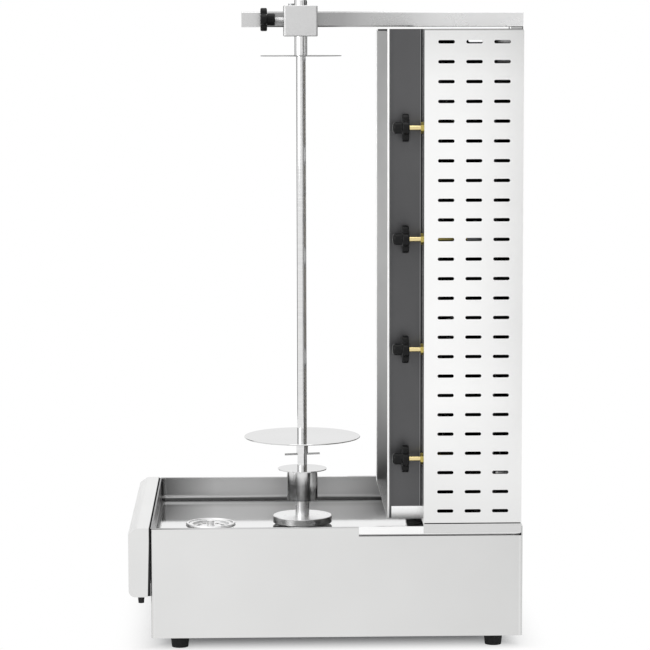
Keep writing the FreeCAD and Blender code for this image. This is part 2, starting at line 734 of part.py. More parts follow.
def drawer_stubs():
    """Rubber stubs under the ends of the drawer front."""
    x = D.stub_setback - D.front_reach
    side = HALF - D.stub_side_inset
    base = DRAWER_BASE - D.stub_height
    low = D.stub_base_dia / 2
    high = D.stub_top_dia / 2
    node("drawer_stubs", group(*[taper((x, y, base), low, high, D.stub_height) for y in (-side, side)]))


# Drive under and in the pan

BUSH_TOP = PAN_FLOOR + D.bush_flange_thick
DISC_BASE = PAN_FLOOR + D.disc_gap
DISC_TOP = DISC_BASE + D.disc_thick
HUB_TOP = DISC_TOP + D.hub_length
CUP_TOP = HUB_TOP + D.cup_height
SOCKET_FLOOR = HUB_TOP + D.cup_floor
GEARBOX_TOP = PAN_UNDER - D.gearbox_drop
GEARBOX_BASE = GEARBOX_TOP - D.gearbox_height
BOSS_TOP = GEARBOX_TOP + D.boss_height
SHAFT_BASE = BOSS_TOP - D.shaft_in_box
MOTOR_END = D.gearbox_length / 2 + D.motor_length


def drive_motor():
    """Geared motor on a bridge bracket, with its shaft straight up through the pan."""
    long = D.gearbox_length / 2
    wide = D.gearbox_width / 2
    body = new_body("Gearbox")
    plan = sketch(body, "XY_Plane", GEARBOX_BASE)
    rectangle(plan, (-long, long), (-wide, wide), D.gearbox_corner)
    pad(body, plan, D.gearbox_height)
    boss = sketch(body, "XY_Plane", GEARBOX_TOP)
    circle(boss, 0, 0, D.boss_dia / 2)
    pad(body, boss, D.boss_height)
    bore = sketch(body, "XY_Plane", BOSS_TOP)
    circle(bore, 0, 0, D.shaft_dia / 2 + D.shaft_gap)
    pocket(body, bore, (D.shaft_in_box + D.runner_gap) * 2)
    node("gearbox", body)

    middle = GEARBOX_BASE + D.gearbox_height / 2
    can = bar("X", (long, 0, middle), D.motor_dia / 2, D.motor_length - D.motor_cap_length)
    cap = bar("X", (MOTOR_END - D.motor_cap_length, 0, middle), D.motor_cap_dia / 2, D.motor_cap_length)
    node("motor_can", fuse(can, cap))

    gauge = D.bracket_sheet
    reach = wide + D.bracket_margin
    end = long + D.bracket_margin
    frame = new_body("Bracket")
    side = sketch(frame, "YZ_Plane")
    top = GEARBOX_BASE
    foot = reach + D.bracket_foot
    outline(side, [(-foot, PLATE_TOP), (gauge - reach, PLATE_TOP), (gauge - reach, top - gauge),
                   (reach - gauge, top - gauge), (reach - gauge, PLATE_TOP), (foot, PLATE_TOP),
                   (foot, PLATE_TOP + gauge), (reach, PLATE_TOP + gauge), (reach, top),
                   (-reach, top), (-reach, PLATE_TOP + gauge), (-foot, PLATE_TOP + gauge)])
    pad(frame, side, end * 2, symmetric=True)
    node("motor_bracket", frame)


def shaft_bush():
    """Flanged bush that seals and guides the shaft where it comes through the pan."""
    bore = D.shaft_dia / 2 + D.shaft_gap
    low = PAN_FLOOR - D.bush_length
    body = turned("Bush", [(bore, low), (D.bush_dia / 2, low), (D.bush_dia / 2, PAN_FLOOR),
                           (D.bush_flange_dia / 2, PAN_FLOOR), (D.bush_flange_dia / 2, BUSH_TOP),
                           (bore, BUSH_TOP)])
    node("shaft_bush", body)


def turntable():
    """Shaft, thick turned disc with its hub, and the cup that drives the spit."""
    shaft = D.shaft_dia / 2
    edge = D.disc_edge
    bore_top = DISC_TOP + D.shaft_in_hub
    node("drive_shaft", group(bar("Z", (0, 0, SHAFT_BASE), shaft, bore_top - SHAFT_BASE)))
    disc = turned("Turntable", [
        (shaft, DISC_BASE), (D.disc_dia / 2 - edge, DISC_BASE), (D.disc_dia / 2, DISC_BASE + edge),
        (D.disc_dia / 2, DISC_TOP - edge), (D.disc_dia / 2 - edge, DISC_TOP), (D.hub_dia / 2, DISC_TOP),
        (D.hub_dia / 2, HUB_TOP), (0, HUB_TOP), (0, bore_top), (shaft, bore_top)])
    node("turntable_disc", disc)

    cup = new_body("Cup")
    round_part = sketch(cup, "XZ_Plane")
    outer = D.cup_dia / 2
    outline(round_part, [(0, HUB_TOP), (outer, HUB_TOP), (outer, CUP_TOP - edge),
                         (outer - edge, CUP_TOP), (0, CUP_TOP)])
    revolve(cup, round_part, "V_Axis")
    socket = sketch(cup, "XY_Plane", CUP_TOP)
    hexagon(socket, D.hex_across + D.hex_gap * 2)
    pocket(cup, socket, (CUP_TOP - SOCKET_FLOOR) * 2)
    turned_about(cup, Vector(0, 0, 1), D.spit_angle)
    node("drive_cup", cup)


# Spit

FOOT_BASE = SOCKET_FLOOR + D.runner_gap
FOOT_TOP = CUP_TOP + D.runner_gap
DRIP_TOP = FOOT_TOP + D.drip_disc_thick
PIN_Z = DRIP_TOP + D.pin_rise
COLLAR_BASE = PIN_Z + D.pin_dia / 2
COLLAR_TOP = COLLAR_BASE + D.collar_length
BORE_GAP = D.shaft_gap * 2


def spit():
    """Rod with a hexagonal foot, its drip disc, and the plate held up by a collar on a cross pin."""
    radius = D.rod_dia / 2
    body = new_body("Rod")
    foot = sketch(body, "XY_Plane", FOOT_BASE)
    hexagon(foot, D.hex_across)
    pad(body, foot, FOOT_TOP - FOOT_BASE)
    shank = sketch(body, "XZ_Plane")
    outline(shank, [(0, FOOT_BASE), (radius, FOOT_BASE), (radius, D.rod_top - D.rod_chamfer),
                    (radius - D.rod_chamfer, D.rod_top), (0, D.rod_top)])
    revolve(body, shank, "V_Axis")
    cross = sketch(body, "YZ_Plane")
    circle(cross, 0, PIN_Z, D.pin_dia / 2 + D.shaft_gap)
    pocket(body, cross, D.rod_dia * 2)
    turned_about(body, Vector(0, 0, 1), D.spit_angle)
    node("spit_rod", body)

    pin = new_body("CrossPin")
    shape = sketch(pin, "YZ_Plane")
    circle(shape, 0, PIN_Z, D.pin_dia / 2)
    pad(pin, shape, D.pin_length, symmetric=True)
    turned_about(pin, Vector(0, 0, 1), D.spit_angle)
    node("cross_pin", pin)

    drip = D.drip_disc_dia / 2
    seat = radius + D.shaft_gap
    node("drip_disc", turned("DripDisc", [(seat, FOOT_TOP), (drip, FOOT_TOP), (drip, DRIP_TOP),
                                          (seat, DRIP_TOP)]))
    bore = radius + BORE_GAP
    outer = D.collar_dia / 2
    node("plate_collar", turned("Collar", [(bore, COLLAR_BASE), (outer, COLLAR_BASE),
                                           (outer, COLLAR_TOP), (bore, COLLAR_TOP)]))
    plate = D.plate_dia / 2
    top = COLLAR_TOP + D.plate_thick
    edge = D.plate_thick / 3
    node("meat_plate", turned("MeatPlate", [
        (bore, COLLAR_TOP), (plate - edge, COLLAR_TOP), (plate, COLLAR_TOP + edge),
        (plate, top - edge), (plate - edge, top), (bore, top)]))


def top_bearing():
    """Sleeve over the top of the rod, with the small disc at its lower end."""
    outer = D.sleeve_dia / 2
    bore = D.rod_dia / 2 + D.shaft_gap
    top = D.sleeve_base + D.sleeve_length
    roof = top - D.sleeve_cap
    edge = D.disc_edge
    node("top_sleeve", turned("Sleeve", [
        (bore, D.sleeve_base), (outer, D.sleeve_base), (outer, top - edge), (outer - edge, top),
        (0, top), (0, roof), (bore, roof)]))
    hole = D.rod_dia / 2 + D.top_disc_hole_gap
    rim = D.top_disc_dia / 2
    base = D.sleeve_base - D.top_disc_thick
    node("top_disc", turned("TopDisc", [(hole, base), (rim, base), (rim, D.sleeve_base),
                                        (hole, D.sleeve_base)]))


# Mast, arm and block

ARM_TOP = D.arm_base + D.arm_height
ARM_FAR = D.arm_near + D.arm_depth
BLOCK_BASE = D.arm_base - D.block_drop
BLOCK_TOP = ARM_TOP + D.block_rise
CLAMP_Z = D.arm_base + D.clamp_height


def mast_and_arm():
    """Square arm over the spit, standing on a mast that is bolted to the casing's rear wall."""
    wall = D.tube_wall
    arm = new_body("Arm")
    section = sketch(arm, "YZ_Plane", -D.arm_front)
    rectangle(section, (D.arm_near, ARM_FAR), (D.arm_base, ARM_TOP), D.tube_corner)
    rectangle(section, (D.arm_near + wall, ARM_FAR - wall), (D.arm_base + wall, ARM_TOP - wall),
              D.tube_corner - wall)
    pad(arm, section, D.arm_front + MACHINE_REAR)
    node("arm", arm)

    mast = new_body("Mast")
    plan = sketch(mast, "XY_Plane", D.mast_foot)
    rectangle(plan, (D.casing_rear, MACHINE_REAR), (D.arm_near, ARM_FAR), D.tube_corner)
    rectangle(plan, (D.casing_rear + wall, MACHINE_REAR - wall), (D.arm_near + wall, ARM_FAR - wall),
              D.tube_corner - wall)
    pad(mast, plan, D.arm_base - D.mast_foot)
    bolts = sketch(mast, "YZ_Plane", D.casing_rear)
    circle(bolts, MAST_Y, D.mast_bolt_low, D.mast_bolt_dia / 2 + D.hole_clearance)
    hole = pocket(mast, bolts, wall * 3)
    row(mast, hole, bolts, "V_Axis", D.mast_bolt_pitch, D.mast_bolt_count)
    node("mast", mast)

    bolt_row = []
    inside = D.casing_rear - D.sheet_metal
    for k in range(int(D.mast_bolt_count.value)):
        z = D.mast_bolt_low + D.mast_bolt_pitch * k
        head = hex_bar("X", (inside - D.nut_height, MAST_Y, z), D.mast_bolt_head, D.nut_height)
        shank = bar("X", (inside, MAST_Y, z), D.mast_bolt_dia / 2, D.sheet_metal + wall * 2)
        bolt_row.append(fuse(head, shank))
    node("mast_bolts", group(*bolt_row))

    plug = wall + D.plug_gap
    caps = []
    for x, way in ((-D.arm_front, 1), (MACHINE_REAR, -1)):
        inner = (x, x + D.cap_plug) if way > 0 else (x - D.cap_plug, x)
        caps.append(block(inner, (D.arm_near + plug, ARM_FAR - plug),
                          (D.arm_base + plug, ARM_TOP - plug)))
    node("arm_plugs", group(*caps))


def slide_block():
    """Block on the arm, bored for the sleeve and tapped for its two screws."""
    body = new_body("SlideBlock")
    far = ARM_FAR + D.block_far_wall
    plan = sketch(body, "XY_Plane", BLOCK_BASE)
    rectangle(plan, (-D.block_front, D.block_rear), (-D.block_near, far), D.block_round)
    solid = pad(body, plan, BLOCK_TOP - BLOCK_BASE)
    middle = (BLOCK_TOP + BLOCK_BASE) / 2
    rounded(body, solid, lambda e: abs(e.CenterOfMass.z - middle.value) > 1, D.block_round / 2)
    gap = D.hole_clearance
    tunnel = sketch(body, "YZ_Plane")
    rectangle(tunnel, (D.arm_near - gap, ARM_FAR + gap), (D.arm_base - gap, ARM_TOP + gap),
              D.tube_corner)
    pocket(body, tunnel, (D.block_front + D.block_rear) * 2)
    bore = sketch(body, "XY_Plane", middle)
    circle(bore, 0, 0, D.sleeve_dia / 2 + D.shaft_gap)
    pocket(body, bore, (BLOCK_TOP - BLOCK_BASE) * 2)
    screw = sketch(body, "YZ_Plane", -D.block_front)
    circle(screw, 0, CLAMP_Z, D.clamp_screw_dia / 2 + D.shaft_gap)
    pocket(body, screw, D.block_front * 2)
    top = sketch(body, "XY_Plane", BLOCK_TOP)
    circle(top, -D.set_screw_ahead, MAST_Y, D.set_screw_dia / 2)
    pocket(body, top, D.block_rise * 2)
    node("slide_block", body)
    shank = bar("Z", (-D.set_screw_ahead, MAST_Y, ARM_TOP), D.set_screw_dia / 2, D.block_rise)
    head = bar("Z", (-D.set_screw_ahead, MAST_Y, BLOCK_TOP), D.set_screw_head_dia / 2,
               D.set_screw_head_height)
    node("block_screw", fuse(shank, head))


def star_knob(name, span, lobe_thick, hub_dia, hub_length, bore_dia, bore_depth, hub_side):
    """Four-lobed knob on a front-to-rear axis; its lobes start at zero and run to the rear.

    hub_side is 1 where the hub is behind the lobes, and -1 where it stands in front of them.
    The bore enters from the rear.
    """
    body = new_body(name)
    core = span * D.knob_core_share
    lobe = span * D.knob_lobe_share
    bevel = lobe_thick * D.knob_bevel_share
    hub = hub_dia / 2
    drawing = sketch(body, "XZ_Plane")
    if hub_side > 0:
        rear = lobe_thick + hub_length
        outline(drawing, [(0, 0), (rear, 0), (rear, hub), (lobe_thick, hub), (lobe_thick, core - bevel),
                          (lobe_thick - bevel, core), (bevel, core), (0, core - bevel)])
    else:
        rear = lobe_thick
        outline(drawing, [(-hub_length, 0), (rear, 0), (rear, core - bevel), (rear - bevel, core),
                          (bevel, core), (0, core - bevel), (0, hub), (bevel - hub_length, hub),
                          (-hub_length, hub - bevel)])
    revolve(body, drawing, "H_Axis")
    arm = sketch(body, "YZ_Plane", bevel / 2)
    rectangle(arm, (-lobe, lobe), (lobe / 4, span / 2), lobe * 2 * D.end_round)
    lobe_pad = pad(body, arm, lobe_thick - bevel)
    ring_of(body, lobe_pad, "X_Axis", D.knob_lobes)
    bore = sketch(body, "YZ_Plane", rear)
    circle(bore, 0, 0, bore_dia / 2 + D.shaft_gap)
    pocket(body, bore, bore_depth * 2)
    return body


def clamp():
    """Screw that presses on the sleeve through the block, and its star knob."""
    tip = -(D.sleeve_dia / 2 + D.clamp_tip_gap)
    hub_rear = -(D.block_front + D.clamp_screw_show)
    lobe_front = hub_rear - D.clamp_hub_length - D.clamp_lobe_thick
    grip = D.clamp_hub_length
    start = hub_rear - grip
    node("clamp_screw", group(bar("X", (start, 0, CLAMP_Z), D.clamp_screw_dia / 2, tip - start)))
    knob = star_knob("ClampKnob", D.clamp_span, D.clamp_lobe_thick, D.clamp_hub_dia,
                     D.clamp_hub_length, D.clamp_screw_dia, grip + D.runner_gap, 1)
    node("clamp_knob", knob, x=lobe_front, z=CLAMP_Z)


# Burner unit: rails, carriage and housing

RAIL_OUTER = SIDE_INNER
RAIL_INNER = RAIL_OUTER - D.sheet_metal
SHELF_TOP = D.shelf_base + D.shelf_thick
PLATE_INNER = BOX_SIDE - D.sheet_metal
FLANGE_SIDE = BOX_SIDE + D.sheet_metal
HOUSING_ROOF = D.housing_top - D.sheet_metal
BURNER_FACE = D.housing_front - D.sheet_metal


def side_rails():
    """Bent rails beside the pan on which the burner unit slides."""
    body = new_body("Rails")
    section = sketch(body, "YZ_Plane", D.rail_front)
    outline(section, [(PAN_HALF, D.rail_base), (RAIL_OUTER, D.rail_base), (RAIL_OUTER, D.rail_top),
                      (RAIL_INNER, D.rail_top), (RAIL_INNER, D.rail_base + D.sheet_metal),
                      (PAN_HALF, D.rail_base + D.sheet_metal)])
    rail = pad(body, section, D.casing_rear - D.casing_corner - D.rail_front)
    both_sides(body, [rail])
    node("side_rails", body)


def carriage_plate():
    """Floor of the burner unit, with skirts outside the rails and glides that lie on them."""
    body = new_body("Carriage")
    plan = sketch(body, "XY_Plane", D.shelf_base)
    outline(plan, [(D.carriage_front, -FLANGE_SIDE), (D.housing_front, -FLANGE_SIDE),
                   (D.housing_front, -HALF), (D.housing_rear, -HALF), (D.housing_rear, HALF),
                   (D.housing_front, HALF), (D.housing_front, FLANGE_SIDE),
                   (D.carriage_front, FLANGE_SIDE)])
    pad(body, plan, D.shelf_thick)
    skirt_inner = RAIL_OUTER + D.slide_gap
    skirt = sketch(body, "YZ_Plane", D.housing_front)
    rectangle(skirt, (skirt_inner, HALF), (D.skirt_base, D.shelf_base + D.shelf_thick / 2))
    skirt_pad = pad(body, skirt, D.housing_rear - D.housing_front)
    glide = sketch(body, "YZ_Plane", D.housing_front)
    rectangle(glide, (PAN_HALF, skirt_inner + D.sheet_metal / 2),
              (D.shelf_base - D.glide_thick, D.shelf_base + D.shelf_thick / 2))
    glide_pad = pad(body, glide, D.housing_rear - D.housing_front)
    band = sketch(body, "YZ_Plane", D.carriage_front + D.hem_length + D.runner_gap)
    rectangle(band, (BOX_SIDE, FLANGE_SIDE), (D.shelf_base, D.band_top))
    band_pad = pad(body, band, D.housing_front - D.carriage_front - D.hem_length - D.runner_gap)
    both_sides(body, [skirt_pad, glide_pad, band_pad])
    node("carriage_plate", body)


def side_panels():
    """Slotted side panels of the housing, three columns of rounded slots on each."""
    body = new_body("SidePanel")
    face = sketch(body, "XZ_Plane", HALF)
    outline(face, [(D.housing_front, D.panel_base), (D.housing_rear, D.panel_base),
                   (D.housing_rear, D.housing_top, D.housing_bend), (D.housing_front, D.housing_top)])
    pad(body, face, D.sheet_metal, backwards=True)
    slots = sketch(body, "XZ_Plane", HALF)
    half_long = D.slot_length / 2
    half_wide = D.slot_width / 2
    for column in range(int(D.slot_columns.value)):
        x = D.slot_first + D.slot_pitch_x * column
        rectangle(slots, (x - half_long, x + half_long), (D.slot_low - half_wide, D.slot_low + half_wide),
                  D.slot_width * D.end_round)
    cutter = pocket(body, slots, D.sheet_metal * 4)
    row(body, cutter, slots, "V_Axis", D.slot_pitch_z, D.slot_rows)
    node("side_panel_near", body)
    far = mirrored(body)
    far.Label = "side_panel_far"
    NODES["side_panel_far"] = far


def rear_cover():
    """Top and rear of the housing in one bent sheet, with a hole for the gas inlet."""
    body = new_body("RearCover")
    wall = D.sheet_metal
    bend = D.housing_bend
    side = sketch(body, "XZ_Plane")
    outline(side, [(D.housing_front, HOUSING_ROOF), (D.housing_rear - wall, HOUSING_ROOF, bend - wall),
                   (D.housing_rear - wall, SHELF_TOP), (D.housing_rear, SHELF_TOP),
                   (D.housing_rear, D.housing_top, bend), (D.housing_front, D.housing_top)])
    pad(body, side, SIDE_INNER * 2, symmetric=True)
    hole = sketch(body, "YZ_Plane", D.housing_rear)
    circle(hole, INLET_SIDE, D.inlet_height, D.pipe_dia / 2 + D.inlet_hole_gap)
    pocket(body, hole, wall * 4)
    node("rear_cover", body)


def front_flanges():
    """Narrow front strips of the housing beside the burner box; the near one carries the taps."""
    near = new_body("TapFlange")
    face = sketch(near, "YZ_Plane", D.housing_front)
    rectangle(face, (-SIDE_INNER, -FLANGE_SIDE), (SHELF_TOP, HOUSING_ROOF))
    pad(near, face, D.sheet_metal)
    holes = sketch(near, "YZ_Plane", D.housing_front)
    lowest = D.tap_top - D.burner_pitch * (D.burner_count - 1)
    circle(holes, -TAP_SIDE, lowest, D.neck_dia / 2 + D.hole_clearance)
    hole = pocket(near, holes, D.sheet_metal * 4)
    row(near, hole, holes, "V_Axis", D.burner_pitch, D.burner_count)
    far = block((D.housing_front, D.housing_front + D.sheet_metal), (FLANGE_SIDE, SIDE_INNER),
                (SHELF_TOP, HOUSING_ROOF))
    node("front_flanges", group(near, far))


def side_plates():
    """Side plates of the burner box, each with a rolled front edge."""
    body = new_body("SidePlate")
    plan = sketch(body, "XY_Plane", SHELF_TOP)
    hem_out = PLATE_INNER + D.edge_hem
    roll = D.edge_hem * D.end_round
    tail = D.carriage_front + D.hem_length
    outline(plan, [(D.carriage_front, PLATE_INNER, roll), (D.housing_front, PLATE_INNER),
                   (D.housing_front, BOX_SIDE), (tail, BOX_SIDE), (tail, hem_out),
                   (D.carriage_front, hem_out, roll)])
    pad(body, plan, D.housing_top - SHELF_TOP)
    node("side_plates", group(body, mirrored(body)))


def reflectors():
    """Slanting reflectors from the front of the side plates in to the burners."""
    body = new_body("Reflector")
    plan = sketch(body, "XY_Plane", SHELF_TOP)
    front = D.carriage_front + D.reflector_setback
    skew = D.reflector_skew
    inner = BURNER_HALF + D.reflector_gap
    outline(plan, [(front, PLATE_INNER), (front + skew, PLATE_INNER),
                   (BURNER_FACE, inner), (BURNER_FACE - skew, inner)])
    pad(body, plan, D.housing_top - D.reflector_drop - SHELF_TOP)
    node("reflectors", group(body, mirrored(body)))


# Burners

BURNER_LOW = D.burner_top - D.burner_pitch * (D.burner_count - 1)
COLLAR_FACE = BURNER_FACE - D.collar_proud
BURNER_BACK = D.housing_front + D.burner_depth
BURNER_HALF = BOX_SIDE - D.burner_inset
COLLAR_HALF = BURNER_HALF - D.collar_inset
TUBE_MOUTH = TAP_SIDE - D.tube_gap
TUBE_X = BURNER_BACK + D.tube_dia / 2


def burner_heights():
    return [D.burner_top - D.burner_pitch * k for k in range(int(D.burner_count.value))]


def burner_panel():
    """Sheet across the back of the burner box, with one window for each burner."""
    body = new_body("BurnerPanel")
    face = sketch(body, "YZ_Plane", BURNER_FACE)
    rectangle(face, (-PLATE_INNER, PLATE_INNER), (SHELF_TOP, HOUSING_ROOF))
    pad(body, face, D.sheet_metal)
    window = sketch(body, "YZ_Plane", BURNER_FACE)
    wide = COLLAR_HALF + D.window_gap
    high = D.collar_half_height + D.window_gap
    rectangle(window, (-wide, wide), (BURNER_LOW - high, BURNER_LOW + high))
    opening = pocket(body, window, D.sheet_metal * 4)
    row(body, opening, window, "V_Axis", D.burner_pitch, D.burner_count)
    node("burner_panel", body)


def burner_housing(z):
    """Hollow pressed box behind the panel, with a ledge for the tile; its collar fills the window."""
    body = new_body("BurnerHousing")
    wide = BURNER_HALF
    high = D.burner_half_height
    back = sketch(body, "XY_Plane", z - high)
    taper_in = D.burner_taper
    outline(back, [(D.housing_front, -wide), (D.housing_front + D.burner_depth / 2, -wide),
                   (BURNER_BACK, taper_in - wide), (BURNER_BACK, wide - taper_in),
                   (D.housing_front + D.burner_depth / 2, wide), (D.housing_front, wide)])
    pad(body, back, high * 2)
    collar = sketch(body, "YZ_Plane", COLLAR_FACE)
    half_wide = COLLAR_HALF
    half_high = D.collar_half_height
    rectangle(collar, (-half_wide, half_wide), (z - half_high, z + half_high))
    pad(body, collar, D.housing_front - COLLAR_FACE)
    seat = sketch(body, "YZ_Plane", COLLAR_FACE)
    inner_wide = half_wide - D.collar_wall
    inner_high = half_high - D.collar_wall
    rectangle(seat, (-inner_wide, inner_wide), (z - inner_high, z + inner_high))
    pocket(body, seat, (D.ceramic_inset + D.ceramic_thick) * 2)
    plenum = sketch(body, "YZ_Plane", COLLAR_FACE)
    ledge = D.plenum_ledge
    rectangle(plenum, (ledge - inner_wide, inner_wide - ledge),
              (z - inner_high + ledge, z + inner_high - ledge))
    pocket(body, plenum, (BURNER_BACK - D.plenum_back - COLLAR_FACE) * 2)
    return body


def burner_ceramic(z):
    wide = COLLAR_HALF - D.collar_wall - D.ceramic_gap
    high = D.collar_half_height - D.collar_wall - D.ceramic_gap
    face = COLLAR_FACE + D.ceramic_inset
    return block((face, face + D.ceramic_thick), (-wide, wide), (z - high, z + high))


def burner_grid(z):
    """Flat guard grid in front of the ceramic, on four short legs."""
    body = new_body("BurnerGrid")
    front = COLLAR_FACE - D.grid_gap
    wide = COLLAR_HALF
    high = D.collar_half_height
    face = sketch(body, "YZ_Plane", front)
    rectangle(face, (-wide, wide), (z - high, z + high))
    pad(body, face, D.grid_thick)
    bar_width = D.grid_bar
    cell_wide = (wide * 2 - bar_width * (D.grid_columns + 1)) / D.grid_columns
    cell_high = (high * 2 - bar_width * (D.grid_rows + 1)) / D.grid_rows
    cells = sketch(body, "YZ_Plane", front)
    for line in range(int(D.grid_rows.value)):
        low = z - high + bar_width + (cell_high + bar_width) * line
        rectangle(cells, (bar_width - wide, bar_width - wide + cell_wide), (low, low + cell_high))
    opening = pocket(body, cells, D.grid_thick * 4)
    row(body, opening, cells, "H_Axis", cell_wide + bar_width, D.grid_columns)
    legs = sketch(body, "YZ_Plane", front)
    for y in ((-wide, bar_width - wide), (wide - bar_width, wide)):
        for low in (z - high, z + high - bar_width):
            rectangle(legs, y, (low, low + bar_width))
    body.Tip = pad(body, legs, D.grid_gap)
    return body


def mixing_tube(z):
    """Tube that carries gas and air to a burner, with a flared mouth at the tap side."""
    body = new_body("MixingTube")
    outer = D.tube_dia / 2
    bore = D.tube_bore / 2
    bell = D.bell_dia / 2
    wall = outer - bore
    mouth = -TUBE_MOUTH
    drawing = sketch(body, "XY_Plane")
    outline(drawing, [(0, D.tube_far), (0, D.tube_far - wall), (bore, D.tube_far - wall),
                      (bore, mouth + D.bell_length), (bell - wall, mouth), (bell, mouth),
                      (outer, mouth + D.bell_length), (outer, D.tube_far)])
    revolve(body, drawing, "V_Axis")
    return place(body, TUBE_X, 0, z)


def burners():
    heights = burner_heights()
    node("burner_housings", group(*[burner_housing(z) for z in heights]))
    node("burner_ceramics", group(*[burner_ceramic(z) for z in heights]))
    node("burner_grids", group(*[burner_grid(z) for z in heights]))
    node("mixing_tubes", group(*[mixing_tube(z) for z in heights]))


# Taps and gas pipe

NUT_FRONT = D.housing_front - D.nut_thick
LOBE_REAR = NUT_FRONT - D.stem_show
LOBE_FRONT = LOBE_REAR - D.knob_lobe_thick
FLANGE_BACK = D.housing_front + D.sheet_metal
TAP_BACK = FLANGE_BACK + D.tap_length
TAIL_BACK = TAP_BACK + D.tail_length
PIPE_X = TAIL_BACK + D.pipe_setback


def tap_heights():
    return [D.tap_top - D.burner_pitch * k for k in range(int(D.burner_count.value))]


def gas_tap(z):
    """Brass tap behind the flange, with its nut in front and its outlet to the mixing tube."""
    y = -TAP_SIDE
    nut = hex_bar("X", (NUT_FRONT, y, z), D.nut_across, D.nut_thick)
    neck = bar("X", (NUT_FRONT, y, z), D.neck_dia / 2, FLANGE_BACK - NUT_FRONT)
    trunk = bar("X", (FLANGE_BACK, y, z), D.tap_dia / 2, D.tap_length)
    tail = bar("X", (TAP_BACK, y, z), D.tail_dia / 2, D.tail_length)
    reach = TAP_SIDE - TUBE_MOUTH - D.outlet_gap
    riser = bar("Z", (TUBE_X, y, z), D.outlet_dia / 2, BURNER_OVER_TAP + D.outlet_dia)
    outlet = bar("Y", (TUBE_X, y, z + BURNER_OVER_TAP), D.outlet_dia / 2 - D.outlet_step, reach)
    depth = D.stem_in_tap + D.push_travel + D.runner_gap
    bore = bar("X", (NUT_FRONT, y, z), D.stem_dia / 2 + D.stem_gap, depth)
    return cut(fuse(nut, neck, trunk, tail, riser, outlet), bore)


BURNER_OVER_TAP = D.burner_top - D.tap_top


def gas_pipe():
    """Upright pipe with a branch to each tap, and a cross pipe to the inlet at the rear."""
    y = -TAP_SIDE
    heights = tap_heights()
    radius = D.pipe_dia / 2
    lowest = D.inlet_height - radius
    pipe = bar("Z", (PIPE_X, y, lowest), radius, D.tap_top + D.pipe_over - lowest)
    branches = [bar("X", (TAIL_BACK, y, z), D.branch_dia / 2, PIPE_X - TAIL_BACK) for z in heights]
    cross = bar("Y", (PIPE_X, y, D.inlet_height), radius, TAP_SIDE + INLET_SIDE + radius)
    thread_front = D.housing_rear + D.inlet_show - D.inlet_thread
    lead = bar("X", (PIPE_X, INLET_SIDE, D.inlet_height), radius, thread_front - PIPE_X)
    thread = bar("X", (thread_front, INLET_SIDE, D.inlet_height), D.inlet_dia / 2, D.inlet_thread)
    bore = bar("X", (PIPE_X, INLET_SIDE, D.inlet_height), D.inlet_bore / 2, D.body_width)
    node("gas_manifold", cut(fuse(pipe, cross, lead, thread, *branches), bore))


def taps():
    heights = tap_heights()
    node("gas_valves", group(*[gas_tap(z) for z in heights]))
    y = -TAP_SIDE
    front = LOBE_REAR - D.stem_in_knob
    for k, z in enumerate(heights, 1):
        stem = bar("X", (front, y, z), D.stem_dia / 2, NUT_FRONT + D.stem_in_tap - front)
        node("valve_stem_%d" % k, group(stem))
        knob = star_knob("GasKnob", D.knob_span, D.knob_lobe_thick, D.knob_hub_dia,
                         D.knob_hub_length, D.stem_dia, D.stem_in_knob + D.runner_gap, -1)
        node("gas_knob_%d" % k, knob, x=LOBE_FRONT, y=y, z=z)


def cable_gland():
    """Nut, body and inside thread of the gland, bored for a cord."""
    outer = D.gland_dia / 2
    body = turned_along_x("Gland", [
        (-D.gland_inside, 0), (D.gland_length, 0), (D.gland_length, outer - D.gland_taper),
        (D.gland_nut_thick, outer), (-D.gland_inside, outer)])
    nut = sketch(body, "YZ_Plane")
    hexagon(nut, D.gland_nut)
    pad(body, nut, D.gland_nut_thick)
    bore = sketch(body, "YZ_Plane")
    circle(bore, 0, 0, D.gland_bore / 2)
    pocket(body, bore, (D.gland_length + D.gland_inside) * 4)
    node("cable_gland", body, x=D.casing_rear, y=GLAND_SIDE, z=D.gland_height)


def check_everything():
    """Stop if any feature failed or any piece has no valid shape."""
    DOC.recompute()
    for thing in DOC.Objects:
        for word in ("Invalid", "Error"):
            if word in thing.State:
                raise RuntimeError("%s (%s) is %s" % (thing.Name, thing.Label, thing.State))
    for label, thing in NODES.items():
        if thing.Shape.isNull() or not thing.Shape.isValid() or not thing.Shape.Solids:
            raise RuntimeError("%s has no valid shape" % label)


def export_everything():
    os.makedirs("parts", exist_ok=True)
    for label, thing in NODES.items():
        thing.Shape.exportStep("parts/%s.step" % label)


def main():
    base_casing()
    bottom_plate()
    feet()
    drip_pan()
    drain_strainer()
    drawer_front()
    drawer_box()
    drawer_runners()
    drawer_stubs()
    drive_motor()
    shaft_bush()
    turntable()
    spit()
    top_bearing()
    mast_and_arm()
    slide_block()
    clamp()
    side_rails()
    carriage_plate()
    side_panels()
    rear_cover()
    front_flanges()
    side_plates()
    reflectors()
    burner_panel()
    burners()
    taps()
    gas_pipe()
    cable_gland()
    check_everything()
    export_everything()
    print(len(NODES), "pieces written")


main()
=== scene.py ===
"""Finishes, moulded knobs, threads, stage and camera for the doner kebab grill.

Every solid of the packed model keeps its place and gets a procedural finish, many with painted light and
shade. The star knobs and the clamp screw are modelled again with rounder forms, and the gas inlet gets its
thread. Dark strips of painted shade stand in the gap behind the drawer front, and two channels of sheet in
painted shade shield the far panel. Lengths are in metres: X runs from the drawer to the burner housing, Y
away from the taps, and Z up.
"""

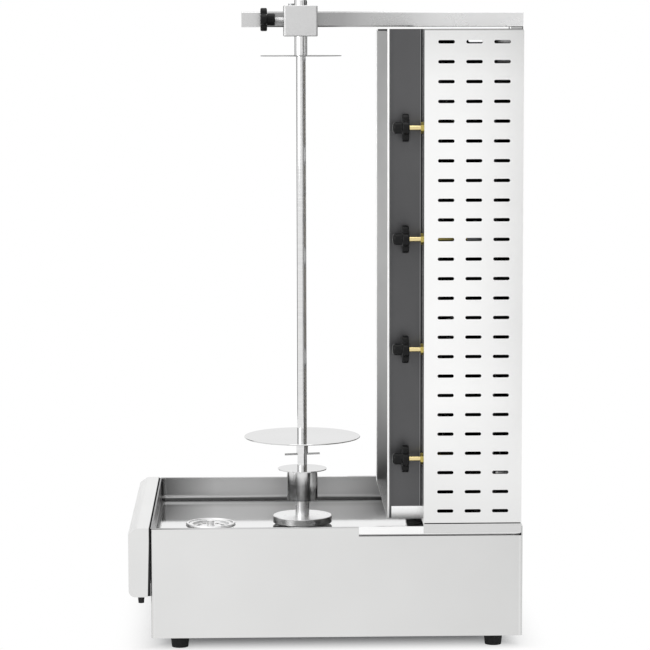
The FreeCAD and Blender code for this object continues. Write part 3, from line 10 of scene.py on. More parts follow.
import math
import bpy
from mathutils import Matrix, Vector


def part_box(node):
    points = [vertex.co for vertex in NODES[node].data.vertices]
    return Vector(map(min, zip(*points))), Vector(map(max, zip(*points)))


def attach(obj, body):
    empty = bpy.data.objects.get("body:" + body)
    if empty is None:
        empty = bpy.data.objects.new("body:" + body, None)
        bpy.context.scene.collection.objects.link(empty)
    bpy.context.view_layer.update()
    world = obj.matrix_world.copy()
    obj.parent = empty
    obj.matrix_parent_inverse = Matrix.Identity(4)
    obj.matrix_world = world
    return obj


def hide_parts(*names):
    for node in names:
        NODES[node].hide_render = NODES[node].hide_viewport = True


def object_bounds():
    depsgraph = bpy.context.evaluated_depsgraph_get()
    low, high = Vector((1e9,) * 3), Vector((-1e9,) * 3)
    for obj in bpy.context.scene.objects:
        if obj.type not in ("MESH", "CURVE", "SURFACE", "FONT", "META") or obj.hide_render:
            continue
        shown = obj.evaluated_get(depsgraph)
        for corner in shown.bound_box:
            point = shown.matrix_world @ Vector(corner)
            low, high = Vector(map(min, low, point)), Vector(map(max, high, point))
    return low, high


bl_info = {
    "name": "Doner Kebab Grill Finishes",
    "version": (1, 0, 0),
    "blender": (4, 5, 0),
    "location": "View3D > Sidebar > Grill",
    "description": "Finishes, moulded knobs, threads and a plain studio for the kebab grill",
    "category": "Object",
}

import bmesh
import bpy
from bpy.props import (
    FloatProperty,
    FloatVectorProperty,
    IntProperty,
    PointerProperty,
)
from mathutils import Vector

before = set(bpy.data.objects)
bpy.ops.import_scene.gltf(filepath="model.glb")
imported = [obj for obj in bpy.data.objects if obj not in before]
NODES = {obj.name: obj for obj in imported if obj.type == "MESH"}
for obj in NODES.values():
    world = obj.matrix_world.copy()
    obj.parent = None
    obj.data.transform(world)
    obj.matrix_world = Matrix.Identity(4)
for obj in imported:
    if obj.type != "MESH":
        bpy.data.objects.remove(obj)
CAD_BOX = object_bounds()


def colour(label, words, default):
    return FloatVectorProperty(
        name=label, description=words, subtype="COLOR", size=3, min=0.0, max=1.0, default=default
    )


def length(label, words, default):
    return FloatProperty(name=label, description=words, subtype="DISTANCE", min=0.0, default=default)


def share(label, words, default):
    return FloatProperty(name=label, description=words, subtype="FACTOR", min=0.0, max=1.0,
                         default=default)


# Stops of a shade: the place on the way across the piece, and the share of the base colour

# Casing: painted highlights and shade at the rounded corners, and painted shade towards the rear
CASING_LIGHT_STOPS = (
    (0.0, 0.8), (0.003, 0.84), (0.005, 1.12), (0.009, 1.06), (0.35, 1.03), (0.75, 0.98),
    (0.991, 0.94), (0.994, 1.15), (0.997, 0.84), (1.0, 0.8),
)
# Slotted panel: painted shade towards the foot and top, and a painted dark line along the top fold
PANEL_SHADE_STOPS = (
    (0.0, 0.83), (0.25, 1.0), (0.75, 1.0), (0.9, 0.96), (0.996, 0.83), (0.9978, 0.83),
    (0.9984, 0.16), (1.0, 0.12),
)
# Edge line on the side plates: a painted highlight on the flange's bend and a painted shadow before the
# panel
EDGE_LINE_LIGHT_STOPS = ((0.0, 1.0), (0.3, 1.0), (0.36, 2.4), (0.54, 2.4), (0.62, 0.3), (1.0, 0.25))
REFLECTOR_STOPS = ((0.0, 0.25), (0.12, 0.5), (0.3, 0.85), (0.5, 1.04), (0.75, 1.0), (1.0, 0.84))
# Drawer front: painted shade on its back, in the gap to the casing
DRAWER_SHADE_STOPS = ((0.0, 1.08), (0.5, 1.0), (0.62, 0.03), (1.0, 0.02))
# Carriage: bright in front, and painted shade under the housing
CARRIAGE_SHADE_STOPS = ((0.0, 1.05), (0.4, 1.05), (0.6, 0.71), (1.0, 0.71))
# Drip pan: painted reflection on the floor and lip, and a painted dark crease in the bend
PAN_BEND_LIGHT_STOPS = (
    (0.0, 1.36), (0.101, 1.36), (0.105, 0.06), (0.36, 0.08), (0.5, 0.7), (0.62, 1.0), (0.8, 1.1),
    (0.9, 0.9), (1.0, 0.9),
)
# Drip pan walls: painted shade that darkens them towards the front
PAN_WALL_SHADE_STOPS = ((0.0, 0.32), (0.5, 0.6), (1.0, 0.9))
# Turntable: painted shade on its underside and lower side, and a painted highlight on its top face
TABLE_SHADE_STOPS = ((0.0, 0.03), (0.04, 0.1), (0.07, 0.44), (0.9, 0.54), (0.97, 1.0), (1.0, 1.0))
CUP_STOPS = ((0.0, 0.6), (0.05, 0.95), (0.9, 1.0), (1.0, 0.9))
# Arm: painted reflection, brighter at both ends and darker round the block
ARM_LIGHT_STOPS = (
    (0.0, 0.84), (0.065, 0.82), (0.1, 0.46), (0.27, 0.46), (0.36, 0.52), (0.47, 0.72),
    (0.56, 0.86), (0.67, 1.02), (1.0, 1.24),
)

# Waves of a noise in one metre along X, Y and Z

WIPES = (14.0, 40.0, 25.0)
PLATE_CLOUDS = (5.0, 5.0, 3.0)
INSIDE_SHADE_CLOUDS = (20.0, 20.0, 20.0)
PAN_CLOUDS = (8.0, 8.0, 8.0)
TILE_CLOUDS = (18.0, 18.0, 18.0)
CARD_CLOUDS = (3.0, 3.0, 3.0)
LINES_ALONG = 5.0
RINGS_ROUND = 30.0

# Lengths over which one finish gives way to the next, and distances at which they do so

CRISP = 0.0004
SHARP = 0.0003
HAIRLINE = 0.0001
FOLD = 0.001
SHEET_SKIN = 0.0012
PAN_UNDER = 0.001
PAN_BEND = 0.009
PAN_WALL_RUN = 0.09
PAN_WALL_FROM = (0.0075, 0.0085)
PAN_SHADE_FROM = (0.075, 0.004)
PAN_FLOOR_SKIN = 0.00002
PAN_FLOOR_EDGE = (0.0002, 0.0012)

# Roughness of the turned pieces, and where one finish has two

TABLE_ROUGHNESS = 0.3
CUP_ROUGHNESS = 0.14
INSIDE_SHADE_ROUGHNESS = 0.7
PANEL_ROUGHNESS = 0.16
DULL_ROUGHNESS = 0.42
HIDDEN_ROUGHNESS = 0.75
PAN_FLOOR_ROUGHNESS = 0.06
PAN_WALL_ROUGHNESS = 0.3

# Holes of a burner tile: the two colours of their painted shade, and where their rim starts and ends

HOLE_SHADE_DARK = (0.03, 0.024, 0.02)
HOLE_SHADE_LIGHT = (0.05, 0.04, 0.03)
HOLE_RIM = (0.22, 0.3)

# Edges of a star knob in shares of their rounding: the way along the axis, and off the full radius

KNOB_FRONT_EDGE = ((0.0, 2.2), (0.3, 1.0), (1.0, 0.25), (2.0, 0.0))
KNOB_REAR_EDGE = ((2.0, 0.0), (1.0, 0.25), (0.3, 1.0), (0.0, 2.6))
KNOB_HUB_FOOT = ((0.0, 1.0), (0.3, 1 / 3), (1.0, 0.0))
KNOB_HUB_END = ((1.0, 0.0), (0.58, 0.09), (0.25, 0.29), (0.05, 0.62), (0.0, 1.0))
KNOB_DOME_SHARE = 0.55
KNOB_END_SHARE = 0.6
KNOB_LOBES = 4

THREAD_STEPS = 24
THREAD_RINGS = 6

# Place and size of each lamp, and name, bearing, width and tone of each card

LAMPS = {
    "key": ((-2.2, -1.9, 1.5), (1.6, 2.0)),
    "top": ((0.2, -0.3, 4.0), (2.2, 2.2)),
    "back": ((1.4, 2.6, 1.8), (1.8, 1.8)),
}
LAMP_AIM = (0.0, 0.0, 0.45)
CARDS = (
    ("card_pale", 34.0, 1.6, "pale_card"), ("card_right", 76.0, 1.3, "card"),
    ("card_right_rear", 127.0, 2.0, "card"), ("card_left_rear", -135.0, 1.2, "card"),
)
CARD_DISTANCE = 2.0
CARD_HEIGHT = 1.5
CARD_BASE = 0.02
FLOOR_HALF = 20.0
SENSOR_WIDTH = 36.0
VIEW_END = 60.0

# Settings


class GrillSteel(bpy.types.PropertyGroup):
    """Colours and grain of the sheet and turned steel."""

    casing: colour("Casing", "Satin sheet of the base and drawer", (0.74, 0.74, 0.735))
    panel: colour("Panel", "Bright sheet of the slotted side panels", (0.985, 0.985, 0.98))
    pan: colour("Pan", "Polished sheet of the drip pan", (0.66, 0.66, 0.66))
    # The shield colour is a painted dark reflection on the side plates
    shield: colour("Shield", "Heat-darkened side plates of the burner box", (0.115, 0.115, 0.118))
    reflector: colour("Reflector", "Warmed steel of the slanting reflectors", (0.50, 0.50, 0.497))
    # The inside colour is painted shade on the sheet behind the slots and on the far shields
    inside: colour("Inside", "Sooted sheet behind the slots", (0.022, 0.022, 0.022))
    arm: colour("Arm", "Square tube of the arm where it is brightest", (0.76, 0.76, 0.76))
    turned: colour("Turned steel", "Rod, hub, cup and collar", (0.78, 0.78, 0.78))
    plate: colour("Discs", "Polished discs on the spit", (0.65, 0.65, 0.65))
    table: colour("Turntable", "Turned disc under the cup", (0.88, 0.88, 0.88))
    block: colour("Block", "Blasted aluminium of the slide block", (0.69, 0.69, 0.69))
    zinc: colour("Zinc", "Dull coat of brackets, pipes and screws", (0.42, 0.43, 0.44))
    grain: length("Grain", "Distance between the brushed lines", 0.0016)
    mottle: length("Mottle", "Size of the faint clouds in the sheet", 0.12)
    # The bright hem is a painted highlight on the rolled front edge of the side plates
    hem: length("Bright hem", "Width of the front edge that heat has not darkened", 0.0031)
    # This line is a painted highlight and a painted shadow where the flange meets the panel
    edge_line_width: length("Worn line", "Width of the worn line in front of the panel", 0.0042)
    # This length is where painted shade takes over the sheet hidden behind the panel
    shade_reach: length("Soot reach", "Length over which the hidden sheet turns to soot", 0.006)


class GrillFittings(bpy.types.PropertyGroup):
    """Colours of the brass, plastic, rubber, ceramic and painted pieces."""

    brass: colour("Brass", "Stems of the taps", (0.80, 0.66, 0.34))
    nut: colour("Tap brass", "Taps and their nuts", (0.60, 0.49, 0.14))
    knob: colour("Knobs", "Moulded plastic of the star knobs", (0.006, 0.006, 0.0063))
    rubber: colour("Rubber", "Feet and drawer stubs", (0.022, 0.022, 0.0225))
    gland: colour("Gland", "Nylon of the cable gland", (0.02, 0.02, 0.022))
    ceramic: colour("Ceramic", "Tiles of the burners", (0.44, 0.415, 0.375))
    burner: colour("Burner body", "Pressed and cast burner housings", (0.20, 0.20, 0.21))
    motor: colour("Motor", "Enamel of the gearbox and motor", (0.03, 0.03, 0.034))
    tile_pitch: length("Tile holes", "Distance between the holes of a burner tile", 0.0032)


class GrillForms(bpy.types.PropertyGroup):
    """Sizes of the forms that are modelled again."""

    knob_steps: IntProperty(name="Knob steps", description="Points round a star knob", min=24,
                            default=96)
    lobe_fullness: share("Lobe fullness", "Lower values make a star knob's lobes broader", 0.5)
    core_share: share("Core", "Radius between the lobes, as a share of the reach", 0.70)
    edge_round: length("Edge round", "Rounding of a knob's moulded edges", 0.001)
    tap_hub: length("Tap knob hub", "Radius of the hub of a tap's knob", 0.00875)
    tap_lobe: length("Tap knob lobes", "Thickness of the lobes of a tap's knob", 0.0104)
    clamp_hub: length("Clamp knob hub", "Radius of the hub of the clamp's knob", 0.0095)
    clamp_lobe: length("Clamp knob lobes", "Thickness of the lobes of the clamp's knob", 0.0103)
    clamp_pitch: length("Clamp pitch", "Pitch of the clamp screw's thread", 0.00125)
    clamp_depth: length("Clamp depth", "Depth of the clamp screw's thread", 0.0007)
    inlet_pitch: length("Inlet pitch", "Pitch of the gas inlet's thread", 0.00181)
    inlet_rise: length("Inlet rise", "How far the inlet's thread stands proud", 0.0005)
    inlet_radius: length("Inlet radius", "Radius of the inlet's plain pipe", 0.010475)
    inlet_height: length("Inlet height", "Height of the gas inlet over the floor", 0.232)
    inlet_side: FloatProperty(name="Inlet side", description="Place of the gas inlet across the part",
                              unit="LENGTH", default=0.1)
    inlet_show: length("Inlet length", "Length of the inlet's threaded end", 0.0192)
    inlet_end: length("Inlet end", "Plain end of the inlet past its thread", 0.0003)
    pan_floor: length("Pan floor", "Height of the drip pan's floor", 0.148)
    pan_side: length("Pan side", "Distance of the pan's side walls from the middle", 0.218)
    drawer_back: FloatProperty(name="Drawer back", description="Place of the back of the drawer front",
                               unit="LENGTH", default=-0.27095)
    drawer_gap: length("Drawer gap", "Room between the drawer front and the casing", 0.002)
    drawer_undercut: length("Drawer undercut", "How far the drawer front's foot stands back", 0.0028)
    # The seal strips are dark pieces of painted shade in the gap behind the drawer front
    seal_thick: length("Seal", "Thickness of the rubber strips behind the drawer front", 0.002)
    seal_inset: length("Seal inset", "Distance of the strips from the drawer front's ends", 0.0004)
    seal_ends: length("Seal ends", "Distance of the strips from the drawer front's top and foot", 0.0015)
    seal_gap: length("Seal gap", "Room between the rubber strips and the casing", 0.0003)
    table_thick: length("Turntable", "Thickness of the turned disc", 0.011)
    sheet: length("Sheet", "Thickness of the housing's sheet", 0.0012)
    shield_front: length("Front shield", "Front edge of the front shield", 0.158)
    shield_wide: length("Front shield width", "Width of the front shield", 0.0645)
    shield_rear: length("Rear shield", "Front edge of the rear shield", 0.2285)
    shield_thin: length("Rear shield width", "Width of the rear shield", 0.033)
    shield_top: length("Rear shield top", "Height at which the rear shield ends", 0.824)
    shield_depth: length("Shield depth", "Distance of the shields from the far panel", 0.0085)
    shield_foot: length("Shield foot", "How far the shields reach below the far panel", 0.0015)


class GrillStage(bpy.types.PropertyGroup):
    """Camera, lamps, dark cards and floor."""

    eye: FloatVectorProperty(name="Eye", description="Place of the camera", subtype="TRANSLATION",
                             default=(-0.1214, -4.044, 0.913))
    aim: FloatVectorProperty(name="Aim", description="Point in the middle of the picture",
                             subtype="TRANSLATION", default=(-0.0049, 0.0, 0.4593))
    lens: FloatProperty(name="Lens", description="Focal length", subtype="DISTANCE_CAMERA",
                        default=145.83)
    roll: FloatProperty(name="Roll", description="Tilt of the camera", subtype="ANGLE",
                        default=math.radians(0.126))
    sky: FloatProperty(name="Sky", description="Light of the surroundings", min=0.0, default=0.78)
    key: FloatProperty(name="Key lamp", description="Large lamp on the left", subtype="POWER",
                       default=26.0)
    top: FloatProperty(name="Top lamp", description="Lamp overhead", subtype="POWER", default=22.0)
    back: FloatProperty(name="Back lamp", description="Lamp behind the part", subtype="POWER",
                        default=18.0)
    card: colour("Cards", "Dark cards that give the round pieces their dark bands",
                 (0.03, 0.03, 0.03))
    floor: colour("Floor", "Floor under the part", (0.98, 0.98, 0.98))
    floor_glow: share("Floor glow", "How white the floor stays in the part's shadow", 0.08)
    floor_fade: length("Floor fade", "Distance beside the part where the shadow has given way to white",
                       0.03)
    floor_reach: length("Floor reach", "How far under the part the fade begins", 0.085)
    pale_card: colour("Pale card", "Grey card beside the dark ones", (0.66, 0.66, 0.66))


# Materials


def calculate(tree, operation, *values, kind="ShaderNodeMath"):
    """The result of a node whose inputs are outputs of others or plain values."""
    node = tree.nodes.new(kind)
    node.operation = operation
    for socket, value in zip(node.inputs, values):
        if isinstance(value, bpy.types.NodeSocket):
            tree.links.new(value, socket)
        else:
            socket.default_value = value
    return node.outputs[0]


class Finish:
    """A node material under construction, read in the part's own frame."""

    def __init__(self, name, roughness=0.4, metallic=0.0):
        self.material = bpy.data.materials.new(name)
        self.material.use_nodes = True
        self.tree = self.material.node_tree
        self.surface = self.tree.nodes["Principled BSDF"]
        self.surface.inputs["Metallic"].default_value = metallic
        self.surface.inputs["Roughness"].default_value = roughness
        self.place = self.add("ShaderNodeTexCoord").outputs["Object"]

    def add(self, kind, **settings):
        """A node of the kind, with its settings."""
        node = self.tree.nodes.new(kind)
        for key, value in settings.items():
            setattr(node, key, value)
        return node

    def feed(self, output, socket):
        self.tree.links.new(output, socket)

    def noise(self, stretch, detail=3.0, rough=0.55):
        """Noise with so many waves in one metre along each axis."""
        mapping = self.add("ShaderNodeMapping")
        mapping.inputs["Scale"].default_value = stretch
        self.feed(self.place, mapping.inputs["Vector"])
        noise = self.add("ShaderNodeTexNoise")
        noise.inputs["Scale"].default_value = 1.0
        noise.inputs["Detail"].default_value = detail
        noise.inputs["Roughness"].default_value = rough
        self.feed(mapping.outputs["Vector"], noise.inputs["Vector"])
        return noise.outputs["Fac"]

    def between(self, factor, low, high, start=0.3, end=0.7):
        """Values from low to high as the factor goes from start to end."""
        node = self.add("ShaderNodeMapRange")
        for name, value in (("From Min", start), ("From Max", end), ("To Min", low), ("To Max", high)):
            node.inputs[name].default_value = value
        self.feed(factor, node.inputs["Value"])
        return node.outputs["Result"]

    def tint(self, factor, dark, light, start=0.3, end=0.7):
        """A colour between dark and light."""
        ramp = self.add("ShaderNodeValToRGB")
        ramp.color_ramp.elements[0].position = start
        ramp.color_ramp.elements[0].color = (*dark, 1.0)
        ramp.color_ramp.elements[1].position = end
        ramp.color_ramp.elements[1].color = (*light, 1.0)
        self.feed(factor, ramp.inputs["Fac"])
        return ramp.outputs["Color"]

    def run(self, axis, start, end, base, stops):
        """The base colour times the factor of each stop, on the way from start to end."""
        ramp = self.add("ShaderNodeValToRGB")
        elements = ramp.color_ramp.elements
        elements[0].position = stops[0][0]
        elements[1].position = stops[-1][0]
        elements[0].color = (*shade(base, stops[0][1]), 1.0)
        elements[1].color = (*shade(base, stops[-1][1]), 1.0)
        for place, part in stops[1:-1]:
            elements.new(place).color = (*shade(base, part), 1.0)
        self.feed(self.past(axis, start, end), ramp.inputs["Fac"])
        return ramp.outputs["Color"]

    def beyond(self, axis, place):
        """Zero inside the place on both sides of the axis, and one outside."""
        return self.sides(axis, place - SHARP, place)

    def sides(self, axis, start, end):
        """Goes from zero to one on both sides of the axis, between two distances from the middle."""
        distance = calculate(self.tree, "ABSOLUTE", self.axis(axis))
        return self.between(distance, 0.0, 1.0, start, end)

    def past(self, axis, start, end):
        """Goes from zero to one on the way from start to end."""
        return self.between(self.axis(axis), 0.0, 1.0, start, end)

    def below(self, axis, place):
        """One up to the place, and zero past it."""
        return self.between(self.axis(axis), 1.0, 0.0, place, place + HAIRLINE)

    def clouded(self, output, size, spread):
        """A colour with faint clouds over it."""
        clouds = self.noise((1 / size,) * 3, detail=2.0)
        veil = self.tint(clouds, (1 - spread,) * 3, (1.0,) * 3)
        mix = self.add("ShaderNodeMix", data_type="RGBA", blend_type="MULTIPLY")
        mix.inputs["Factor"].default_value = 1.0
        self.feed(output, mix.inputs["A"])
        self.feed(veil, mix.inputs["B"])
        return mix.outputs["Result"]

    def blend(self, factor, first, second):
        """The first colour where the factor is zero, and the second where it is one."""
        mix = self.add("ShaderNodeMix", data_type="RGBA")
        self.feed(factor, mix.inputs["Factor"])
        self.feed(first, mix.inputs["A"])
        self.feed(second, mix.inputs["B"])
        return mix.outputs["Result"]

    def axis(self, name):
        """The place along one axis of the part's frame."""
        split = self.add("ShaderNodeSeparateXYZ")
        self.feed(self.place, split.inputs["Vector"])
        return split.outputs[name]

    def bump(self, height, distance, strength):
        node = self.add("ShaderNodeBump")
        node.inputs["Distance"].default_value = distance
        node.inputs["Strength"].default_value = strength
        self.feed(height, node.inputs["Height"])
        self.feed(node.outputs["Normal"], self.surface.inputs["Normal"])

    def colour_from(self, output):
        self.feed(output, self.surface.inputs["Base Color"])

    def roughness_from(self, output):
        self.feed(output, self.surface.inputs["Roughness"])


def shade(base, factor):
    return tuple(min(1.0, channel * factor) for channel in base)


def cloudy(finish, base, size, spread):
    """Faint clouds in a sheet of one colour."""
    clouds = finish.noise((1 / size,) * 3, detail=2.0)
    return finish.tint(clouds, shade(base, 1 - spread), shade(base, 1 + spread))


def lined(finish, grain):
    """Fine level lines pressed into the finish, given back as a factor."""
    lines = finish.noise((LINES_ALONG, LINES_ALONG, 1 / grain), detail=2.0, rough=0.7)
    finish.bump(lines, distance=0.00001, strength=0.25)
    return lines


def uncoloured_sheet(name, steel, roughness=0.24):
    """Sheet with fine level lines whose colour is still to come."""
    finish = Finish(name, metallic=1.0)
    lines = lined(finish, steel.grain)
    finish.roughness_from(finish.between(lines, roughness * 0.9, roughness * 1.12))
    return finish


def brushed(name, base, steel, roughness=0.24):
    """Sheet of one colour with fine level lines."""
    finish = uncoloured_sheet(name, steel, roughness)
    finish.colour_from(cloudy(finish, base, steel.mottle, spread=0.02))
    return finish


def base_sheet(name, steel, start, end):
    """Satin sheet with painted shade towards the rear, and painted highlights and shade at the corners."""
    finish = uncoloured_sheet(name, steel)
    shades = finish.run("X", start, end, steel.casing, CASING_LIGHT_STOPS)
    finish.colour_from(finish.clouded(shades, steel.mottle, spread=0.03))
    return finish


def slotted_sheet(name, steel, skin, low, high):
    """Bright sheet outside, with painted shade at its foot, top and top fold, and painted shade inside."""
    finish = Finish(name, metallic=1.0)
    lined(finish, steel.grain)
    shades = finish.run("Z", low, high, steel.panel, PANEL_SHADE_STOPS)
    # Painted shade on the inner side of the panel
    dark = finish.tint(finish.noise(INSIDE_SHADE_CLOUDS), shade(steel.inside, 0.8), steel.inside)
    outside = finish.beyond("Y", skin)
    finish.colour_from(finish.blend(outside, dark, finish.clouded(shades, steel.mottle, spread=0.03)))
    finish.roughness_from(finish.between(outside, INSIDE_SHADE_ROUGHNESS, PANEL_ROUGHNESS, start=0.0, end=1.0))
    return finish


def drawer_sheet(name, steel, back):
    """Satin sheet outside, with painted shade on the back of the drawer front, in the gap."""
    finish = uncoloured_sheet(name, steel)
    shades = finish.run("X", back - SHEET_SKIN, back, steel.casing, DRAWER_SHADE_STOPS)
    finish.colour_from(finish.clouded(shades, steel.mottle, spread=0.03))
    return finish


def carriage_sheet(name, steel, turn):
    """Bright where the side plates stand on it, and darker under the housing as painted shade."""
    finish = uncoloured_sheet(name, steel)
    shades = finish.run("X", turn - FOLD, turn + FOLD, steel.panel, CARRIAGE_SHADE_STOPS)
    finish.colour_from(finish.clouded(shades, steel.mottle, spread=0.03))
    return finish


def plate_with_painted_light(name, steel, highlight_until, hidden_from):
    """Side plate with a painted dark reflection, painted highlights and shadow near its edges, and painted
    shade where hidden.
    """
    finish = Finish(name, metallic=1.0)
    clouds = finish.noise(PLATE_CLOUDS)
    # Painted dark reflection over the plate, and a painted highlight on its rolled edge
    dark_reflection = finish.tint(clouds, shade(steel.shield, 0.85), shade(steel.shield, 1.2))
    bright = finish.tint(clouds, shade(steel.panel, 0.96), steel.panel)
    # Painted shade for the part of the plate that the panel hides
    inside_shade = finish.tint(clouds, shade(steel.inside, 0.8), steel.inside)
    inward = finish.past("X", highlight_until - CRISP, highlight_until)
    # Painted highlight and painted shadow in a line before the panel
    edge_line_from = hidden_from - steel.edge_line_width
    painted = finish.run("X", edge_line_from, hidden_from, steel.shield, EDGE_LINE_LIGHT_STOPS)
    near = finish.past("X", edge_line_from, edge_line_from + CRISP)
    hidden = finish.past("X", hidden_from, hidden_from + steel.shade_reach)
    seen = finish.blend(near, finish.blend(inward, bright, dark_reflection), painted)
    finish.colour_from(finish.blend(hidden, seen, inside_shade))
    finish.roughness_from(finish.between(hidden, DULL_ROUGHNESS, HIDDEN_ROUGHNESS, start=0.0, end=1.0))
    lines = finish.noise((LINES_ALONG, LINES_ALONG, 1 / steel.grain), detail=2.0)
    finish.bump(lines, distance=0.00002, strength=0.2)
    return finish


def wiped(name, roughness, least=0.92, most=1.08):
    """Even sheet with faint wiping marks whose colour is still to come."""
    finish = Finish(name, metallic=1.0)
    wipes = finish.noise(WIPES, detail=4.0)
    finish.roughness_from(finish.between(wipes, roughness * least, roughness * most))
    return finish


def polished(name, base, steel):
    """Nearly a mirror, with faint wiping marks."""
    finish = wiped(name, roughness=0.09, least=0.6, most=1.6)
    finish.colour_from(cloudy(finish, base, steel.mottle, spread=0.03))
    return finish


def plain_sheet(name, base, steel, roughness):
    """Even satin sheet of one colour."""
    finish = wiped(name, roughness)
    finish.colour_from(cloudy(finish, base, steel.mottle, spread=0.03))
    return finish


def reflector_darker_below(name, steel, low, high):
    """Reflector sheet, darker towards the pan."""
    finish = wiped(name, roughness=0.3)
    shades = finish.run("Z", low, high, steel.reflector, REFLECTOR_STOPS)
    finish.colour_from(finish.clouded(shades, 0.05, spread=0.06))
    return finish


def arm_tube(name, steel, start, end):
    """Square tube with painted light: bright at both ends and darker round the block."""
    finish = wiped(name, roughness=0.28)
    shades = finish.run("X", start, end, steel.arm, ARM_LIGHT_STOPS)
    finish.colour_from(finish.clouded(shades, 0.06, spread=0.03))
    return finish


def pan_sheet(name, steel, floor, front, wall_side):
    """Polished pan with painted light: bright floor and lip, dark crease, walls darker to the front, shaded
    floor edges.
    """
    finish = Finish(name, metallic=1.0)
    bend = finish.run("Z", floor - PAN_UNDER, floor + PAN_BEND, steel.pan, PAN_BEND_LIGHT_STOPS)
    wall = finish.run("X", front, front + PAN_WALL_RUN, steel.pan, PAN_WALL_SHADE_STOPS)
    floor_shade = finish.tint(finish.noise(PAN_CLOUDS), shade(steel.pan, 0.34), shade(steel.pan, 0.38))
    above = finish.past("Z", *(floor + rise for rise in PAN_WALL_FROM))
    beside = finish.sides("Y", *(wall_side - inward for inward in PAN_SHADE_FROM))
    # Painted shade on the floor along the side walls
    rim = calculate(finish.tree, "MULTIPLY", beside, finish.below("Z", floor + PAN_FLOOR_SKIN))
    shades = finish.blend(above, finish.blend(rim, bend, floor_shade), wall)
    finish.colour_from(finish.clouded(shades, steel.mottle, spread=0.04))
    start, end = (floor + rise for rise in PAN_FLOOR_EDGE)
    finish.roughness_from(finish.between(finish.axis("Z"), PAN_FLOOR_ROUGHNESS, PAN_WALL_ROUGHNESS, start,
                                         end))
    return finish


def ringed(name, steel, roughness):
    """Round stock with fine rings across its axis, and the rings as a factor for its colour."""
    finish = Finish(name, metallic=1.0)
    rings = finish.noise((RINGS_ROUND, RINGS_ROUND, 0.6 / steel.grain), rough=0.65)
    finish.roughness_from(finish.between(rings, roughness * 0.8, roughness * 1.3))
    finish.bump(rings, distance=0.00002, strength=0.12)
    return finish, rings


def lathe_turned(name, base, steel, roughness=0.075):
    """Round stock of one colour with fine rings across its axis."""
    finish, rings = ringed(name, steel, roughness)
    finish.colour_from(finish.tint(rings, shade(base, 0.93), shade(base, 1.04)))
    return finish


def upright_turned(name, base, steel, roughness, low, high, stops):
    """Round stock whose shade changes on the way up."""
    finish = ringed(name, steel, roughness)[0]
    finish.colour_from(finish.run("Z", low, high, base, stops))
    return finish


def moulded(name, base, roughness=0.32, grain=0.0009):
    """Plastic or rubber with a fine moulded grain."""
    finish = Finish(name)
    pores = finish.noise((1 / grain,) * 3, detail=2.0)
    finish.colour_from(finish.tint(pores, shade(base, 0.8), shade(base, 1.3)))
    finish.roughness_from(finish.between(pores, roughness * 0.9, roughness * 1.15))
    finish.surface.inputs["Specular IOR Level"].default_value = 0.16
    finish.bump(pores, distance=0.00006, strength=0.5)
    return finish


def blasted(name, base, roughness=0.45, grain=0.0012, depth=0.00008):
    """Cast, zinc-coated or bead-blasted metal with an even grain."""
    finish = Finish(name, metallic=1.0)
    pits = finish.noise((1 / grain,) * 3, detail=4.0, rough=0.7)
    finish.colour_from(finish.tint(pits, shade(base, 0.86), shade(base, 1.1)))
    finish.roughness_from(finish.between(pits, roughness * 0.85, roughness * 1.2))
    finish.bump(pits, depth, strength=0.4)
    return finish


def burner_tile(name, fittings):
    """Cream tile with rows of fine burner holes, painted dark as their shade."""
    finish = Finish(name, roughness=0.85)
    cells = finish.add("ShaderNodeTexVoronoi", feature="F1")
    cells.inputs["Randomness"].default_value = 0.0
    cells.inputs["Scale"].default_value = 1 / fittings.tile_pitch
    flat = calculate(finish.tree, "MULTIPLY", finish.place, (0.0, 1.0, 1.0), kind="ShaderNodeVectorMath")
    finish.feed(flat, cells.inputs["Vector"])
    rim = finish.between(cells.outputs["Distance"], 0.0, 1.0, *HOLE_RIM)
    scorch = finish.noise(TILE_CLOUDS)
    tile = finish.tint(scorch, shade(fittings.ceramic, 0.72), fittings.ceramic)
    # Painted shade in the holes
    hole = finish.tint(scorch, HOLE_SHADE_DARK, HOLE_SHADE_LIGHT)
    finish.colour_from(finish.blend(rim, hole, tile))
    finish.bump(rim, distance=0.0006, strength=0.7)
    return finish


def dress(finish, *names):
    """Give CAD nodes their finish."""
    for name in names:
        slots = NODES[name].data.materials
        slots.clear()
        slots.append(finish.material)


# Meshes


def ring_mesh(name, rings, finish, body):
    """A closed skin over rings of as many points each, with its two ends filled."""
    mesh = bpy.data.meshes.new(name)
    build = bmesh.new()
    loops = [[build.verts.new(point) for point in ring] for ring in rings]
    for first, second in zip(loops, loops[1:]):
        for i, corner in enumerate(first):
            j = (i + 1) % len(first)
            build.faces.new((corner, first[j], second[j], second[i]))
    build.faces.new(list(reversed(loops[0])))
    build.faces.new(loops[-1])
    bmesh.ops.recalc_face_normals(build, faces=build.faces)
    for face in build.faces:
        face.smooth = len(face.verts) == 4
    build.to_mesh(mesh)
    build.free()
    piece = bpy.data.objects.new(name, mesh)
    bpy.context.scene.collection.objects.link(piece)
    mesh.materials.append(finish.material)
    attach(piece, body)
    return piece


def gap_shade_strip(name, forms, outer, inner, low, high, finish):
    """Upright dark strip that widens downwards, put as painted shade between the drawer front and the
    casing.
    """
    rear = forms.drawer_back + forms.drawer_gap - forms.seal_gap
    foot = forms.drawer_back - forms.drawer_undercut
    corners = ((forms.drawer_back, high), (rear, high), (rear, low), (foot, low))
    rings = [[(x, y, z) for x, z in corners] for y in (outer, inner)]
    return ring_mesh(name, rings, finish, "drawer")


